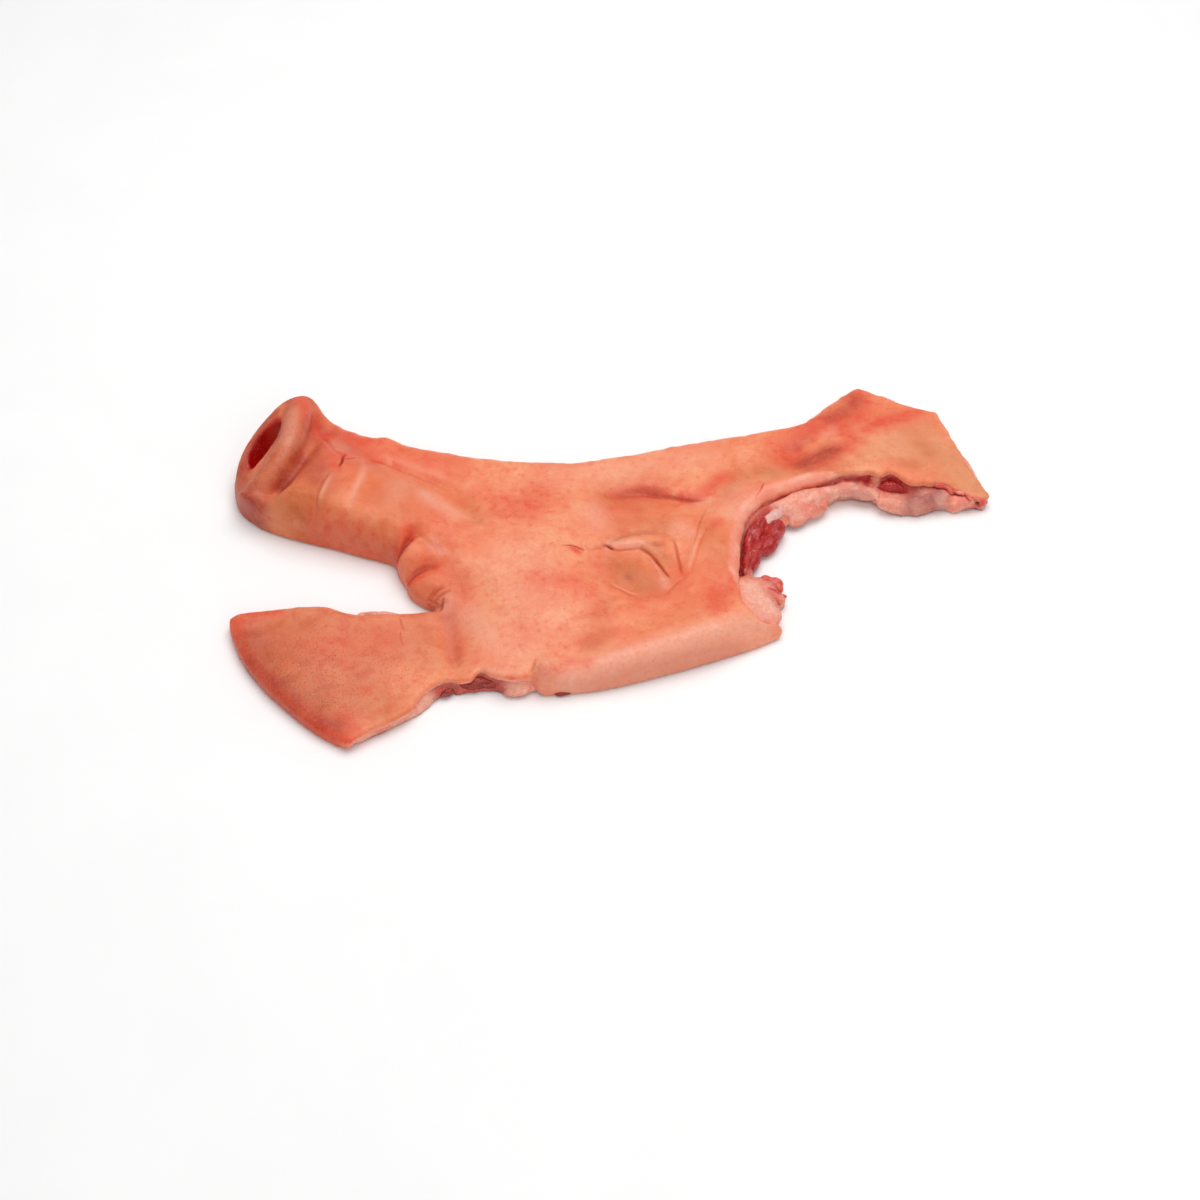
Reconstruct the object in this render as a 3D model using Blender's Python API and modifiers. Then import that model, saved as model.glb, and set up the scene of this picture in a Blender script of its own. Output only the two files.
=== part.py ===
"""Half of a boned-out pork face mask, lying skin side up: snout, mouth slit, shut eye, cheek and chin,
with the ear cut away and the flesh showing below the skin along the cuts.

Sizes are in millimetres until the end. X runs from the snout to the neck, Y from the jowl to the midline
of the face, Z up. The mask is one solid: two stacked blanks are fused, and the result is then pressed
into its real heights, folds and rolled edges.
"""

import bmesh
import bpy
import numpy as np
from mathutils import Vector, noise
from mathutils.kdtree import KDTree

MM = 0.001
COLLECTION = "pork_face_mask"
MASK = "pork_mask"

SKIN_BLANK = 20.0  # height of the skin's blank before it is pressed into shape
FLESH_BLANK = 10.0  # height of the flesh's blank, which sticks out along the cuts
BLANK_STEP = 2.0  # spacing of the points along both outlines
VOXEL = 2.2  # grain of the fused blank
REST_BAND = 0.7  # what is left this close to the table is pressed flat on it
FACE_SHARE = 0.19  # share of the triangles that stays after thinning

# An outline is a ring of stretches that meet at corners. Each point is x, y, then how far in from the
# edge the skin starts to roll down, and what share of the height is left at the edge itself.
CUT = (2.5, 0.85)  # a knife cut: a standing wall with a slightly softened rim
TORN = (4.0, 0.65)  # the bevelled cut round the ear
RAGGED = (7.0, 0.4)  # torn flesh, slumped towards the table
MIDLINE = (6.0, 0.6)
ROLLED = (14.0, 0.15)  # jowl skin that turns down to the table
LIP = (20.0, 0.12)  # the thick upper lip, round all the way down
THIN_LIP = (7.0, 0.5)
SNOUT_FACE = (4.0, 0.6)


def along(edge, *points):
    """Outline points that all have the same edge."""
    return [(x, y, *edge) for x, y in points]


SKIN_OUTLINE = [
    along(  # cut along the middle of the nose and forehead
        MIDLINE,
        (-156, 102),
        (-146, 98.5),
        (-132, 91),
        (-121, 90.5),
        (-112, 86),
        (-90, 81),
        (-65, 77),
        (-40, 75),
        (-20, 75),
        (16, 82),
        (48, 91),
        (81, 99),
        (100, 104),
        (110, 110),
        (125, 124),
        (137, 133),
    ),
    along(CUT, (137, 133), (148, 126), (151, 127), (162, 121), (180, 114.5)),  # neck flap, far edge
    along(CUT, (180, 114.5), (183, 102), (190, 77), (198, 58), (202, 52)),  # neck flap, end
    along(  # neck flap, ragged edge over the flesh
        CUT,
        (202, 52),
        (196, 50),
        (188, 50),
        (184, 52),
        (180, 54.5),
        (173, 55),
        (169, 53),
        (158, 53),
        (154, 55.5),
        (150, 59.5),
        (146, 59.5),
        (141, 57.5),
        (137, 60),
        (131, 60),
        (124, 59.5),
        (115, 57.5),
    ),
    along(  # the round cut where the ear was
        TORN,
        (115, 57.5),
        (104, 55),
        (92, 50),
        (82, 44.5),
        (75, 37),
        (70, 27),
        (67.5, 16),
        (66, 3),
        (65, -8),
        (64, -18),
    ),
    along(CUT, (64, -18), (64, -32), (67, -38), (73, -43), (79, -44.5), (85, -42)),  # end of the jowl
    along(ROLLED, (85, -42), (81, -46.5), (66, -54), (36, -66), (6, -76), (-10, -80)),  # jowl
    along(  # cut under the jaw, up to the notch
        CUT,
        (-10, -80),
        (-18, -81.5),
        (-24, -81),
        (-29, -83),
        (-40, -82),
        (-50, -81),
        (-58, -78),
        (-65, -73.5),
    ),
    along(  # cut under the chin
        CUT,
        (-65, -73.5),
        (-68, -78),
        (-73, -80),
        (-79, -78.5),
        (-85, -81),
        (-92, -88),
        (-98, -99),
        (-107, -107),
        (-117, -113),
        (-125, -115.5),
    ),
    along(  # middle of the chin
        THIN_LIP,
        (-125, -115.5),
        (-144, -106),
        (-168, -84),
        (-183, -64),
        (-191, -46),
        (-193, -36),
    ),
    along(  # lower lip
        THIN_LIP,
        (-193, -36),
        (-186, -32),
        (-165, -28.5),
        (-150, -27),
        (-141, -28.5),
        (-132, -32.5),
        (-115, -33),
        (-100, -31.5),
        (-92, -29.5),
        (-86, -27.5),
    ),
    along(  # gathered skin from the mouth's corner to the upper lip
        THIN_LIP,
        (-86, -27.5),
        (-94, -25),
        (-101, -20),
        (-104.5, -14.5),
        (-105.5, -10.5),
        (-109.5, -4),
        (-111, 2),
    ),
    along(  # upper lip
        LIP,
        (-111, 2),
        (-113, 5.5),
        (-119, 8),
        (-131, 12),
        (-144, 17),
        (-158, 22),
        (-172, 27.5),
        (-184, 33.5),
        (-191, 39),
    ),
    along(  # front of the snout, down to the table
        SNOUT_FACE,
        (-191, 39),
        (-198, 45),
        (-202, 54),
        (-202.5, 63),
        (-200.5, 73),
        (-196, 83.5),
        (-189, 93),
        (-180, 102),
        (-169.5, 108.5),
        (-160, 109),
        (-156, 102),
    ),
]

FLESH_OUTLINE = [
    along(  # below the neck flap and round the ear cut
        RAGGED,
        (200, 52),
        (197, 47),
        (190, 48),
        (182, 45),
        (176, 46.5),
        (171, 46.5),
        (167, 43.5),
        (158, 42.5),
        (149, 43.5),
        (144, 48),
        (138, 53),
        (130, 54.5),
        (122, 54),
        (116, 50.5),
        (108, 45.5),
        (102, 40.5),
        (97, 38.5),
        (92, 34),
        (90, 29),
        (87, 24),
        (83, 19.5),
        (78, 14.5),
        (74, 8),
        (71.5, 1),
        (71.5, -6),
    ),
    along(  # torn flesh at the end of the jowl
        RAGGED,
        (71.5, -6),
        (75, -7.5),
        (80, -9.5),
        (86, -8),
        (88, -12),
        (86, -16),
        (89.5, -19.5),
        (86, -25),
        (84, -30),
        (86.5, -35),
        (84, -42),
    ),
    along(  # flush under the jowl, then along the cut under the jaw
        RAGGED,
        (84, -42),
        (70, -48),
        (30, -58),
        (-5, -70),
        (-20, -79),
        (-30, -83.5),
        (-40, -82.5),
        (-46, -84),
        (-52, -81.5),
        (-58, -80),
        (-66, -81),
        (-75, -82),
        (-80, -82),
        (-87, -90),
        (-94, -101),
        (-104, -109),
        (-121, -113),
    ),
    along(  # inside the chin and the lips, where nothing shows
        RAGGED,
        (-121, -113),
        (-160, -78),
        (-180, -45),
        (-160, -40),
        (-134, -40),
        (-127, -33),
        (-115, -33),
        (-108, -40),
        (-80, -34),
        (-92, 0),
        (-120, 20),
        (-172, 50),
        (-165, 88),
        (-120, 78),
        (-20, 66),
        (90, 92),
        (136, 122),
        (176, 106),
        (189, 84),
        (193, 77),
        (197, 65),
        (200, 52),
    ),
]

# Spot heights of the skin: x, y, height. Between them the height changes smoothly.
SNOUT_HEIGHTS = [
    (-203, 60, 9),
    (-200, 76, 15),
    (-192, 50, 14),
    (-193, 68, 17),
    (-191, 83, 19),
    (-184, 91, 23),
    (-176, 99, 28),
    (-168, 105, 33),
    (-182, 56, 24),
    (-180, 72, 26),
    (-175, 90, 28),
    (-165, 101, 26),
    (-168, 60, 30),
    (-164, 78, 29),
    (-160, 45, 28),
    (-153, 96, 24),
    (-178, 42, 18),
]
SKIN_HEIGHTS = [
    (-138, 89, 16),
    (-110, 80, 13),
    (-60, 68, 12),
    (0, 68, 12),
    (60, 85, 12),
    (95, 95, 12),
    (-150, 60, 32),
    (-125, 42, 30),
    (-150, 35, 30),
    (-105, 25, 26),
    (-88, 4, 19),
    (-122, 66, 20),
    (-95, 57, 15),
    (-72, 40, 13),
    (-55, 10, 16),
    (-40, -30, 17),
    (-55, -60, 14),
    (0, -50, 15),
    (30, -40, 15),
    (58, -33, 14),
    (5, 25, 14),
    (12, 0, 12),
    (45, 15, 15),
    (40, 60, 13),
    (72, 60, 15),
    (-20, -72, 15),
    (21, -60, 18),
    (49, -46, 20),
    (66, -42, 20),
    (-88, -30, 9),
    (-100, -55, 10),
    (-140, -62, 11),
    (-172, -52, 10),
    (-125, -98, 9),
    (-78, -62, 10),
    (100, 82, 12),
    (130, 100, 14),
    (150, 80, 18),
    (125, 68, 18),
    (165, 68, 18),
    (175, 105, 11),
    (186, 70, 13),
    (199, 54, 6),
    (68, 30, 15),
    (60, 0, 16),
]
SPOT_REACH = 20.0  # how far a spot height carries
SNOUT_REACH = 9.0  # the same on the snout, which is more sharply formed
SHELF_HEIGHTS = [  # the same for the flesh where it sticks out
    (195, 52, 5),
    (180, 50, 11),
    (160, 48, 11),
    (146, 54, 9),
    (130, 57, 11),
    (110, 50, 10),
    (92, 38, 11),
    (78, 20, 10),
    (68, 0, 8),
    (80, -13, 12),
    (84, -25, 10),
    (84, -38, 6),
    (-30, -80, 7),
    (-48, -80, 7),
    (-65, -77, 7),
    (-90, -84, 6),
    (-120, -110, 4),
    (-120, -34, 7),
]
SHELF_SHARE = 0.6  # the flesh is never higher than this share of the skin over it
LUMP_SIZE = 7.0
LUMP_HEIGHT = 3.5

# Folds of the skin: points, half width, height (grooves are negative).
FOLDS = [
    ([(-158, 88), (-160, 74), (-162, 58), (-170, 47), (-178, 38)], 6.0, -9.0),  # behind the snout's rim
    ([(-136, 74), (-122, 67), (-108, 64), (-94, 57), (-79, 46), (-70, 32)], 7.0, -4.0),  # beside the nose
    ([(-112, 3), (-101, 9), (-94, 9)], 3.2, -7.0),  # gathers of the upper lip
    ([(-106, -13), (-97, -11), (-88, -7)], 3.2, -5.5),
    ([(-94, -29), (-84, -28)], 4.0, -3.5),  # corner of the mouth
    ([(-82, -34), (-79, -48), (-78, -60), (-75, -76)], 8.0, -3.0),  # between chin and cheek
    ([(2, 46), (18, 46), (34, 42), (47, 39), (54, 41)], 3.6, -5.5),  # under the brow
    ([(0, 54), (20, 54), (40, 50)], 6.0, 2.5),  # the brow itself
    ([(-6, 9), (8, 15), (22, 20), (33, 17), (35, 4), (36, -12)], 3.0, -3.4),  # above the upper lid
    ([(0, 8), (14, 10), (24, 4), (30, -10)], 4.5, 2.6),  # the upper lid
    ([(-4, 6), (12, 4), (21, -4), (29, -19)], 2.2, -4.2),  # the shut eye
    ([(2, -4), (12, -10), (22, -18)], 7.0, 2.4),  # the lower lid
    ([(-2, -12), (8, -24), (24, -30)], 3.0, -2.4),  # below the lower lid
    ([(50, 36), (47, 15), (42, -8)], 2.6, -1.8),  # from the brow to behind the eye
    ([(56, 30), (54, 10), (52, -12)], 8.0, 2.2),  # roll behind the eye
    ([(58, -27), (64, -36)], 7.0, -2.5),  # hollow above the jowl's end
    ([(92, 78), (104, 83)], 9.0, -3.5),  # hollow before the neck flap
]
SNOUT_RIM = [  # middle of the snout's round rim, from the midline over the top to the lip
    (-163, 105, 10),
    (-165, 101, 21),
    (-167, 89, 24.5),
    (-171, 71, 25),
    (-177, 56, 22.5),
    (-184, 47, 17),
    (-190, 45, 9),
]
RIM_RADIUS = 8.0
NOSTRIL_CENTRE = (-184.5, 77, 22.5)
NOSTRIL_RADII = (17, 19, 9)  # along the slit, into the snout, across the slit
NOSTRIL_SLIT = (0.42, 0.88, 0.2)  # direction of its length
NOSTRIL_INWARD = (0.55, -0.1, -0.8)  # direction into the snout


def smooth_path(points, step, closed=False):
    """Points at about equal steps on a smooth curve through the given ones, of any number of columns."""
    p = np.array(points, float)
    ends = (p[-1], p[0]) if closed else (2 * p[0] - p[1], 2 * p[-1] - p[-2])
    padded = np.vstack([ends[0], p, ends[1]])
    path = []
    for before, a, b, after in zip(padded, padded[1:], padded[2:], padded[3:]):
        count = max(1, round(float(np.linalg.norm((b - a)[:2])) / step))
        for t in np.arange(count) / count:
            path.append(
                0.5
                * (
                    2 * a
                    + (b - before) * t
                    + (2 * before - 5 * a + 4 * b - after) * t**2
                    + (3 * a - before - 3 * b + after) * t**3
                )
            )
    return np.array(path + [p[-1]])


def ring(outline, step=BLANK_STEP):
    """The closed outline of several stretches, sampled, without the doubled corners."""
    return np.vstack([smooth_path(stretch, step)[:-1] for stretch in outline])


def blank(name, outline, height, collection):
    """A flat blank cut to an outline, standing on the table."""
    curve = bpy.data.curves.new(name, "CURVE")
    curve.dimensions = "2D"
    curve.fill_mode = "BOTH"
    curve.extrude = height / 2
    spline = curve.splines.new("POLY")
    points = ring(outline)
    spline.points.add(len(points) - 1)
    for point, (x, y, *_) in zip(spline.points, points):
        point.co = (x, y, 0, 1)
    spline.use_cyclic_u = True
    obj = bpy.data.objects.new(name, curve)
    obj.location.z = height / 2
    collection.objects.link(obj)
    return as_mesh(obj)


def tube(name, points, radius, collection):
    """A round roll that follows points."""
    curve = bpy.data.curves.new(name, "CURVE")
    curve.dimensions = "3D"
    curve.bevel_depth = radius
    curve.bevel_resolution = 3
    curve.use_fill_caps = True
    spline = curve.splines.new("POLY")
    path = smooth_path(points, 5.0)
    spline.points.add(len(path) - 1)
    for point, (x, y, z) in zip(spline.points, path):
        point.co = (x, y, z, 1)
    obj = bpy.data.objects.new(name, curve)
    collection.objects.link(obj)
    return as_mesh(obj)


def as_mesh(obj):
    """The curve object made a closed mesh object of the same name."""
    bpy.context.view_layer.update()
    evaluated = obj.evaluated_get(bpy.context.evaluated_depsgraph_get())
    mesh = bpy.data.meshes.new_from_object(evaluated)
    made = bpy.data.objects.new(obj.name, mesh)
    made.matrix_world = obj.matrix_world
    for collection in obj.users_collection:
        collection.objects.link(made)
    name = obj.name
    bpy.data.objects.remove(obj)
    made.name = name
    bm = bmesh.new()
    bm.from_mesh(mesh)
    bmesh.ops.transform(bm, matrix=made.matrix_world, verts=bm.verts)
    bmesh.ops.remove_doubles(bm, verts=bm.verts, dist=0.01)
    bmesh.ops.recalc_face_normals(bm, faces=bm.faces)
    bm.to_mesh(mesh)
    bm.free()
    made.matrix_world.identity()
    return made


def join(objects):
    """Several mesh objects made one, still overlapping."""
    target = objects[0]
    bm = bmesh.new()
    for obj in objects:
        bm.from_mesh(obj.data)
    bm.to_mesh(target.data)
    bm.free()
    for obj in objects[1:]:
        bpy.data.objects.remove(obj)
    return target


def apply_modifiers(obj):
    """Replaces the object's mesh by what its modifiers make of it."""
    bpy.context.view_layer.update()
    evaluated = obj.evaluated_get(bpy.context.evaluated_depsgraph_get())
    mesh = bpy.data.meshes.new_from_object(evaluated)
    obj.modifiers.clear()
    obj.data = mesh


def fuse(obj, voxel):
    """Fuses what overlaps in the mesh into one skin of even quads."""
    remesh = obj.modifiers.new("fuse", "REMESH")
    remesh.mode = "VOXEL"
    remesh.voxel_size = voxel
    apply_modifiers(obj)


def positions(obj):
    flat = np.empty(len(obj.data.vertices) * 3, np.float32)
    obj.data.vertices.foreach_get("co", flat)
    return flat.reshape(-1, 3).astype(float)


def place(obj, points):
    obj.data.vertices.foreach_set("co", points.astype(np.float32).ravel())
    obj.data.update()


def from_spots(spots, reach, xy):
    """The height at each place, from spot heights by distance, and how well the spots cover it."""
    total = np.zeros(len(xy))
    weight = np.full(len(xy), 1e-9)
    for x, y, height in spots:
        near = np.exp(-((xy[:, 0] - x) ** 2 + (xy[:, 1] - y) ** 2) / reach**2)
        total += near * height
        weight += near
    return total / weight, np.clip(weight, 0, 1)


def skin_height(xy):
    """Height of the skin before its edges roll down: the face, with the snout's own spots over it."""
    face, _ = from_spots(SKIN_HEIGHTS, SPOT_REACH, xy)
    snout, cover = from_spots(SNOUT_HEIGHTS, SNOUT_REACH, xy)
    return face + (snout - face) * cover


def nearest(path, xy):
    """Distance from each place to a sampled path, and the index of the nearest sample."""
    tree = KDTree(len(path))
    for i, p in enumerate(path):
        tree.insert((p[0], p[1], 0), i)
    tree.balance()
    found = [tree.find((x, y, 0)) for x, y in xy]
    return np.array([f[2] for f in found]), np.array([f[1] for f in found])


def edge_share(outline, xy):
    """How much of the full height is left at each place, from its distance to the outline's edge."""
    path = ring(outline, 1.0)
    distance, index = nearest(path, xy)
    roll, wall = path[index, 2], path[index, 3]
    inward = np.clip(distance / roll, 0, 1)
    return wall + (1 - wall) * np.sqrt(1 - (1 - inward) ** 2)


def fold_height(xy):
    """Sum of the folds at each place. A fold fades out towards its ends."""
    total = np.zeros(len(xy))
    for points, width, height in FOLDS:
        path = smooth_path(points, 1.5)
        distance, index = nearest(path, xy)
        run = index / (len(path) - 1)
        fade = np.sqrt(np.clip(np.sin(np.pi * (0.04 + 0.92 * run)), 0, 1))
        total += height * fade * np.exp(-((distance / width) ** 2))
    return total


def lumps(xy):
    """Uneven torn flesh, up and down by about LUMP_HEIGHT."""
    return LUMP_HEIGHT * np.array([noise.noise((x / LUMP_SIZE, y / LUMP_SIZE, 0)) for x, y in xy])


def press(obj):
    """Presses the fused blank into the heights of the real skin and flesh."""
    p = positions(obj)
    xy = p[:, :2]
    skin_share = edge_share(SKIN_OUTLINE, xy)
    top = (skin_height(xy) + fold_height(xy)) * skin_share
    flesh_height, _ = from_spots(SHELF_HEIGHTS, SPOT_REACH, xy)
    flesh_height = (flesh_height + lumps(xy)) * edge_share(FLESH_OUTLINE, xy)
    shelf = np.minimum(flesh_height, SHELF_SHARE * top)
    flesh_part = np.clip(p[:, 2] / FLESH_BLANK, 0, 1)
    skin_part = np.clip((p[:, 2] - FLESH_BLANK) / (SKIN_BLANK - FLESH_BLANK), 0, 1)
    p[:, 2] = flesh_part * shelf + skin_part * (top - shelf)
    place(obj, p)


def nostril_cutter(collection):
    """An egg-shaped cutter that slants into the snout."""
    bpy.ops.mesh.primitive_uv_sphere_add(segments=24, ring_count=12, radius=1.0)
    cutter = bpy.context.object
    cutter.name = "nostril_cutter"
    length = Vector(NOSTRIL_SLIT).normalized()
    inward = Vector(NOSTRIL_INWARD)
    inward = (inward - inward.dot(length) * length).normalized()
    across = length.cross(inward)
    for vertex in cutter.data.vertices:
        x, y, z = (c * r for c, r in zip(vertex.co, NOSTRIL_RADII))
        vertex.co = Vector(NOSTRIL_CENTRE) + x * length + y * inward + z * across
    for other in cutter.users_collection:
        other.objects.unlink(cutter)
    collection.objects.link(cutter)
    return cutter


def cut(obj, cutter):
    boolean = obj.modifiers.new("cut", "BOOLEAN")
    boolean.operation = "DIFFERENCE"
    boolean.object = cutter
    apply_modifiers(obj)
    bpy.data.objects.remove(cutter)


def soften(obj, rounds):
    smooth = obj.modifiers.new("soften", "SMOOTH")
    smooth.factor = 0.5
    smooth.iterations = rounds
    apply_modifiers(obj)


def thin(obj, share):
    """Fewer triangles, most of them left where the surface bends."""
    decimate = obj.modifiers.new("thin", "DECIMATE")
    decimate.ratio = share
    apply_modifiers(obj)


def flatten_underside(obj):
    """Presses what is next to the table flat on it."""
    p = positions(obj)
    p[:, 2] -= p[:, 2].min()
    p[p[:, 2] < REST_BAND, 2] = 0
    place(obj, p)


def centre(obj):
    """Puts the middle of the mask's box over the origin."""
    p = positions(obj)
    p[:, :2] -= ((p.min(0) + p.max(0)) / 2)[:2]
    place(obj, p)


def skin_material():
    material = bpy.data.materials.new("skin")
    material.use_nodes = True
    principled = material.node_tree.nodes["Principled BSDF"]
    principled.inputs["Base Color"].default_value = (0.80, 0.33, 0.19, 1)
    principled.inputs["Roughness"].default_value = 0.45
    principled.inputs["Metallic"].default_value = 0.0
    return material


def build():
    for obj in list(bpy.data.objects):
        bpy.data.objects.remove(obj)
    collection = bpy.data.collections.new(COLLECTION)
    bpy.context.scene.collection.children.link(collection)
    skin = blank(MASK, SKIN_OUTLINE, SKIN_BLANK, collection)
    flesh = blank("flesh_blank", FLESH_OUTLINE, FLESH_BLANK, collection)
    mask = join([skin, flesh])
    fuse(mask, VOXEL)
    press(mask)
    mask = join([mask, tube("snout_rim", SNOUT_RIM, RIM_RADIUS, collection)])
    fuse(mask, VOXEL)
    soften(mask, 3)
    cut(mask, nostril_cutter(collection))
    flatten_underside(mask)
    thin(mask, FACE_SHARE)
    flatten_underside(mask)
    centre(mask)
    mask.data.transform([[MM if i == j and i < 3 else float(i == j) for j in range(4)] for i in range(4)])
    mask.data.materials.clear()
    mask.data.materials.append(skin_material())
    mask.data.shade_smooth()
    return mask


build()
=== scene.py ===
"""Half of a boned-out pork face, lying skin side up: the skin with its snout, eye, lips and folds, the fat
body under it, and the torn muscle, sinew and fat that show along the cuts.

The lists are in millimetres on the butcher's board: X from the snout to the neck, Y from the jowl to the
middle of the face, Z up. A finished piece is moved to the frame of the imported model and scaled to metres.
"""

import math

import bpy
import numpy as np
from mathutils import Matrix, Vector, noise
from mathutils.kdtree import KDTree


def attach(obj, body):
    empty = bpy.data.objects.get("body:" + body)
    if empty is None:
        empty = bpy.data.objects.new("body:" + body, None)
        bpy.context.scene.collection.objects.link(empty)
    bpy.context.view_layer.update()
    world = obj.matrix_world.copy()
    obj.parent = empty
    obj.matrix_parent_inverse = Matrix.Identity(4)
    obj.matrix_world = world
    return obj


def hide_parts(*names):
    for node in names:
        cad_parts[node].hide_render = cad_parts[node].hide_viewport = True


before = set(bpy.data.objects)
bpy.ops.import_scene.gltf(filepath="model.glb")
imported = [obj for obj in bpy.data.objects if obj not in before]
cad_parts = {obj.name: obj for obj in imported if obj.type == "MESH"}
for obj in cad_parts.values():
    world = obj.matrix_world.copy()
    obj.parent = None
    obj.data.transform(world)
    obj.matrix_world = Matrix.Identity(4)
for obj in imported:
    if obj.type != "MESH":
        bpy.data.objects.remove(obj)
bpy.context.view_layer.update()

MM = 0.001
MASK = "pork_mask"
BOARD_MIDDLE = Vector((-0.4, 8.75, 0))  # middle of the mask on the board, which is the frame's origin

# Skin and fat body
SKIN_THICKNESS = 4.2
SKIN_GRAIN = 1.0  # mesh size of the skin
SKIN_TRIANGLES = 188000  # what is left of the mesh once it is coarser between the fine folds
FLESH_GRAIN = 1.25
BLANK_STEP = 1.6  # spacing of the points along an outline
BLANK_HEIGHT = 10.0

# An edge: how far in it starts to roll down, what share of the height is left at the edge itself, how
# ragged it is, 1 where it is a knife cut that shows the fat below the skin, and how wide a bevel was cut.
CUT = (2.5, 0.85, 0.45, 1, 0)
TORN = (7.0, 0.45, 0.3, 1, 6.0)
FRAYED = (2.5, 0.8, 0.9, 1, 0)
MIDLINE = (6.0, 0.6, 0.4, 1, 0)
ROLLED = (9.0, 0.15, 0.0, 0, 0)
LIP = (11.0, 0.14, 0.0, 0, 0)
THIN_LIP = (7.0, 0.5, 0.2, 0, 0)
NODULE = (6.0, 0.15, 0.0, 0, 0)
SNOUT_FACE = (4.0, 0.55, 0.0, 0, 0)
SNOUT_TOP = (3.0, 0.9, 0.0, 0, 0)
RAGGED = (7.0, 0.4, 0.9, 1, 0)
EDGE_CHANGE = 4  # outline points over which one kind of edge turns into the next, each way


def along(edge, *points):
    """Outline points that all have the same edge."""
    return [(x, y, *edge) for x, y in points]


SKIN_OUTLINE = [
    along(  # cut along the middle of the nose and forehead
        MIDLINE, (-157, 103), (-146, 98.5), (-132, 91), (-121, 90.5), (-112, 86), (-90, 81), (-65, 77),
        (-40, 75), (-20, 75), (16, 82), (48, 91), (81, 99), (100, 104), (110, 110), (125, 124), (137, 133),
    ),
    along(CUT, (137, 133), (148, 126), (151, 127), (162, 121), (180, 114.5)),  # neck flap, far edge
    along(CUT, (180, 114.5), (183, 102), (190, 77), (198, 58), (202, 52)),  # neck flap, end
    along(  # neck flap, frayed edge over the flesh
        FRAYED, (202, 52), (196, 50), (188, 50), (184, 52), (180, 54.5), (173, 55), (169, 53), (158, 53),
        (154, 55.5), (150, 59.5), (146, 59.5), (141, 57.5), (137, 60), (131, 60), (124, 59.5), (115, 57.5),
    ),
    along(  # the round cut where the ear was
        TORN, (115, 57.5), (104, 55), (92, 50), (82, 44.5), (75, 37), (70, 27), (67.5, 16), (66, 3),
        (65, -8), (64, -18),
    ),
    along(CUT, (64, -18), (64, -26), (65, -32), (69.5, -39), (74, -42), (79, -42), (86, -41)),  # jowl's end
    along(  # the jowl, rolled under
        ROLLED, (86, -41), (84, -44.5), (79, -47.5), (66, -54), (36, -66), (6, -76), (-10, -80), (-22, -81.5),
    ),
    along(  # nodule under the jaw
        NODULE, (-22, -81.5), (-27, -81.5), (-32, -82.5), (-37, -81), (-39.5, -77.5),
    ),
    along(CUT, (-39.5, -77.5), (-43, -80.5), (-50, -81), (-58, -78), (-65, -73.5)),  # under the jaw
    along(  # under the chin
        CUT, (-65, -73.5), (-68, -78), (-73, -80), (-79, -78.5), (-85, -81), (-92, -88), (-97.5, -97.5),
        (-107, -104.5), (-117, -110.5), (-126, -117),
    ),
    along(  # middle of the chin
        THIN_LIP, (-126, -117), (-143.5, -106), (-167, -83.5), (-182, -63.5), (-190, -46), (-192, -37),
    ),
    along(  # lower lip
        THIN_LIP, (-192, -37), (-186, -33), (-165, -29.5), (-150, -28), (-141, -29.5), (-132, -33.5),
        (-115, -34), (-100, -32.5), (-92, -30), (-86, -27.5),
    ),
    along(  # gathered skin from the mouth's corner to the upper lip
        THIN_LIP, (-86, -27.5), (-94, -25), (-101, -20), (-104.5, -14.5), (-105.5, -10.5), (-109.5, -4),
        (-111, 2),
    ),
    along(  # upper lip
        LIP, (-111, 2), (-113, 5.5), (-119, 8), (-131, 12), (-144, 17), (-158, 21.5), (-172, 26.5),
        (-184.5, 32.5), (-191, 38),
    ),
    along(SNOUT_FACE, (-191, 38), (-196, 43), (-199.5, 50), (-201, 58), (-200.5, 66)),
    along(  # far edge of the snout's face, beside the nostril and over the top
        SNOUT_TOP, (-200.5, 66), (-198.5, 74), (-195, 82), (-190, 89.5), (-183.5, 97.5), (-177, 103),
        (-169, 107), (-162, 107), (-157, 103),
    ),
]

FLESH_OUTLINE = [
    along(  # below the neck flap and round the ear cut
        RAGGED, (200, 52), (197, 47), (190, 48), (182, 45), (176, 46.5), (171, 46.5), (167, 43.5),
        (158, 42.5), (149, 43.5), (144, 48), (138, 53), (130, 54.5), (122, 54), (116, 50.5), (108, 45.5),
        (102, 40.5), (97, 38.5), (92, 34), (90, 29), (87, 24), (83, 19.5), (78, 14), (74.5, 7), (72, 1),
        (71.5, -6),
    ),
    along(  # torn flesh at the end of the jowl
        RAGGED, (71.5, -6), (73.5, -9.5), (77, -8.5), (80, -10.5), (86, -10), (87, -15.5), (84.5, -18.5),
        (88.5, -21), (85, -26), (82.5, -32), (84.5, -35), (82, -40),
    ),
    along(  # flush under the jowl, then along the cut under the jaw
        RAGGED, (82, -40), (70, -46), (30, -56), (-5, -66), (-20, -72), (-30, -78), (-40, -80), (-47, -83),
        (-53, -81), (-58, -79), (-66, -79.5), (-75, -81.5), (-80, -81), (-86, -84.5), (-92.5, -93),
        (-102.5, -99.5), (-121, -107),
    ),
    along(  # inside the chin and the lips and along the far edge, where nothing shows
        CUT, (-121, -107), (-160, -78), (-180, -45), (-160, -40), (-134, -40), (-127, -34), (-115, -34),
        (-108, -40), (-80, -34), (-92, 0), (-120, 20), (-150, 36), (-150, 84), (-120, 78), (-20, 66),
        (90, 92), (136, 122), (176, 106), (189, 84), (193, 77), (197, 65), (200, 52),
    ),
]
EDGE_INSET = {1: 1.0, 0: 6.0}  # how far the fat body stays back from a cut edge and from a rolled one
INSET_KEPT = 0.9  # a point closer to the edge than this share of the inset lies in a loop and goes
INSET_LAG = 9  # outline points over which the inset may still grow
EDGE_SLACK = 0.8  # added to the distance from an edge, so that a roll doesn't start too steeply

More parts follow.
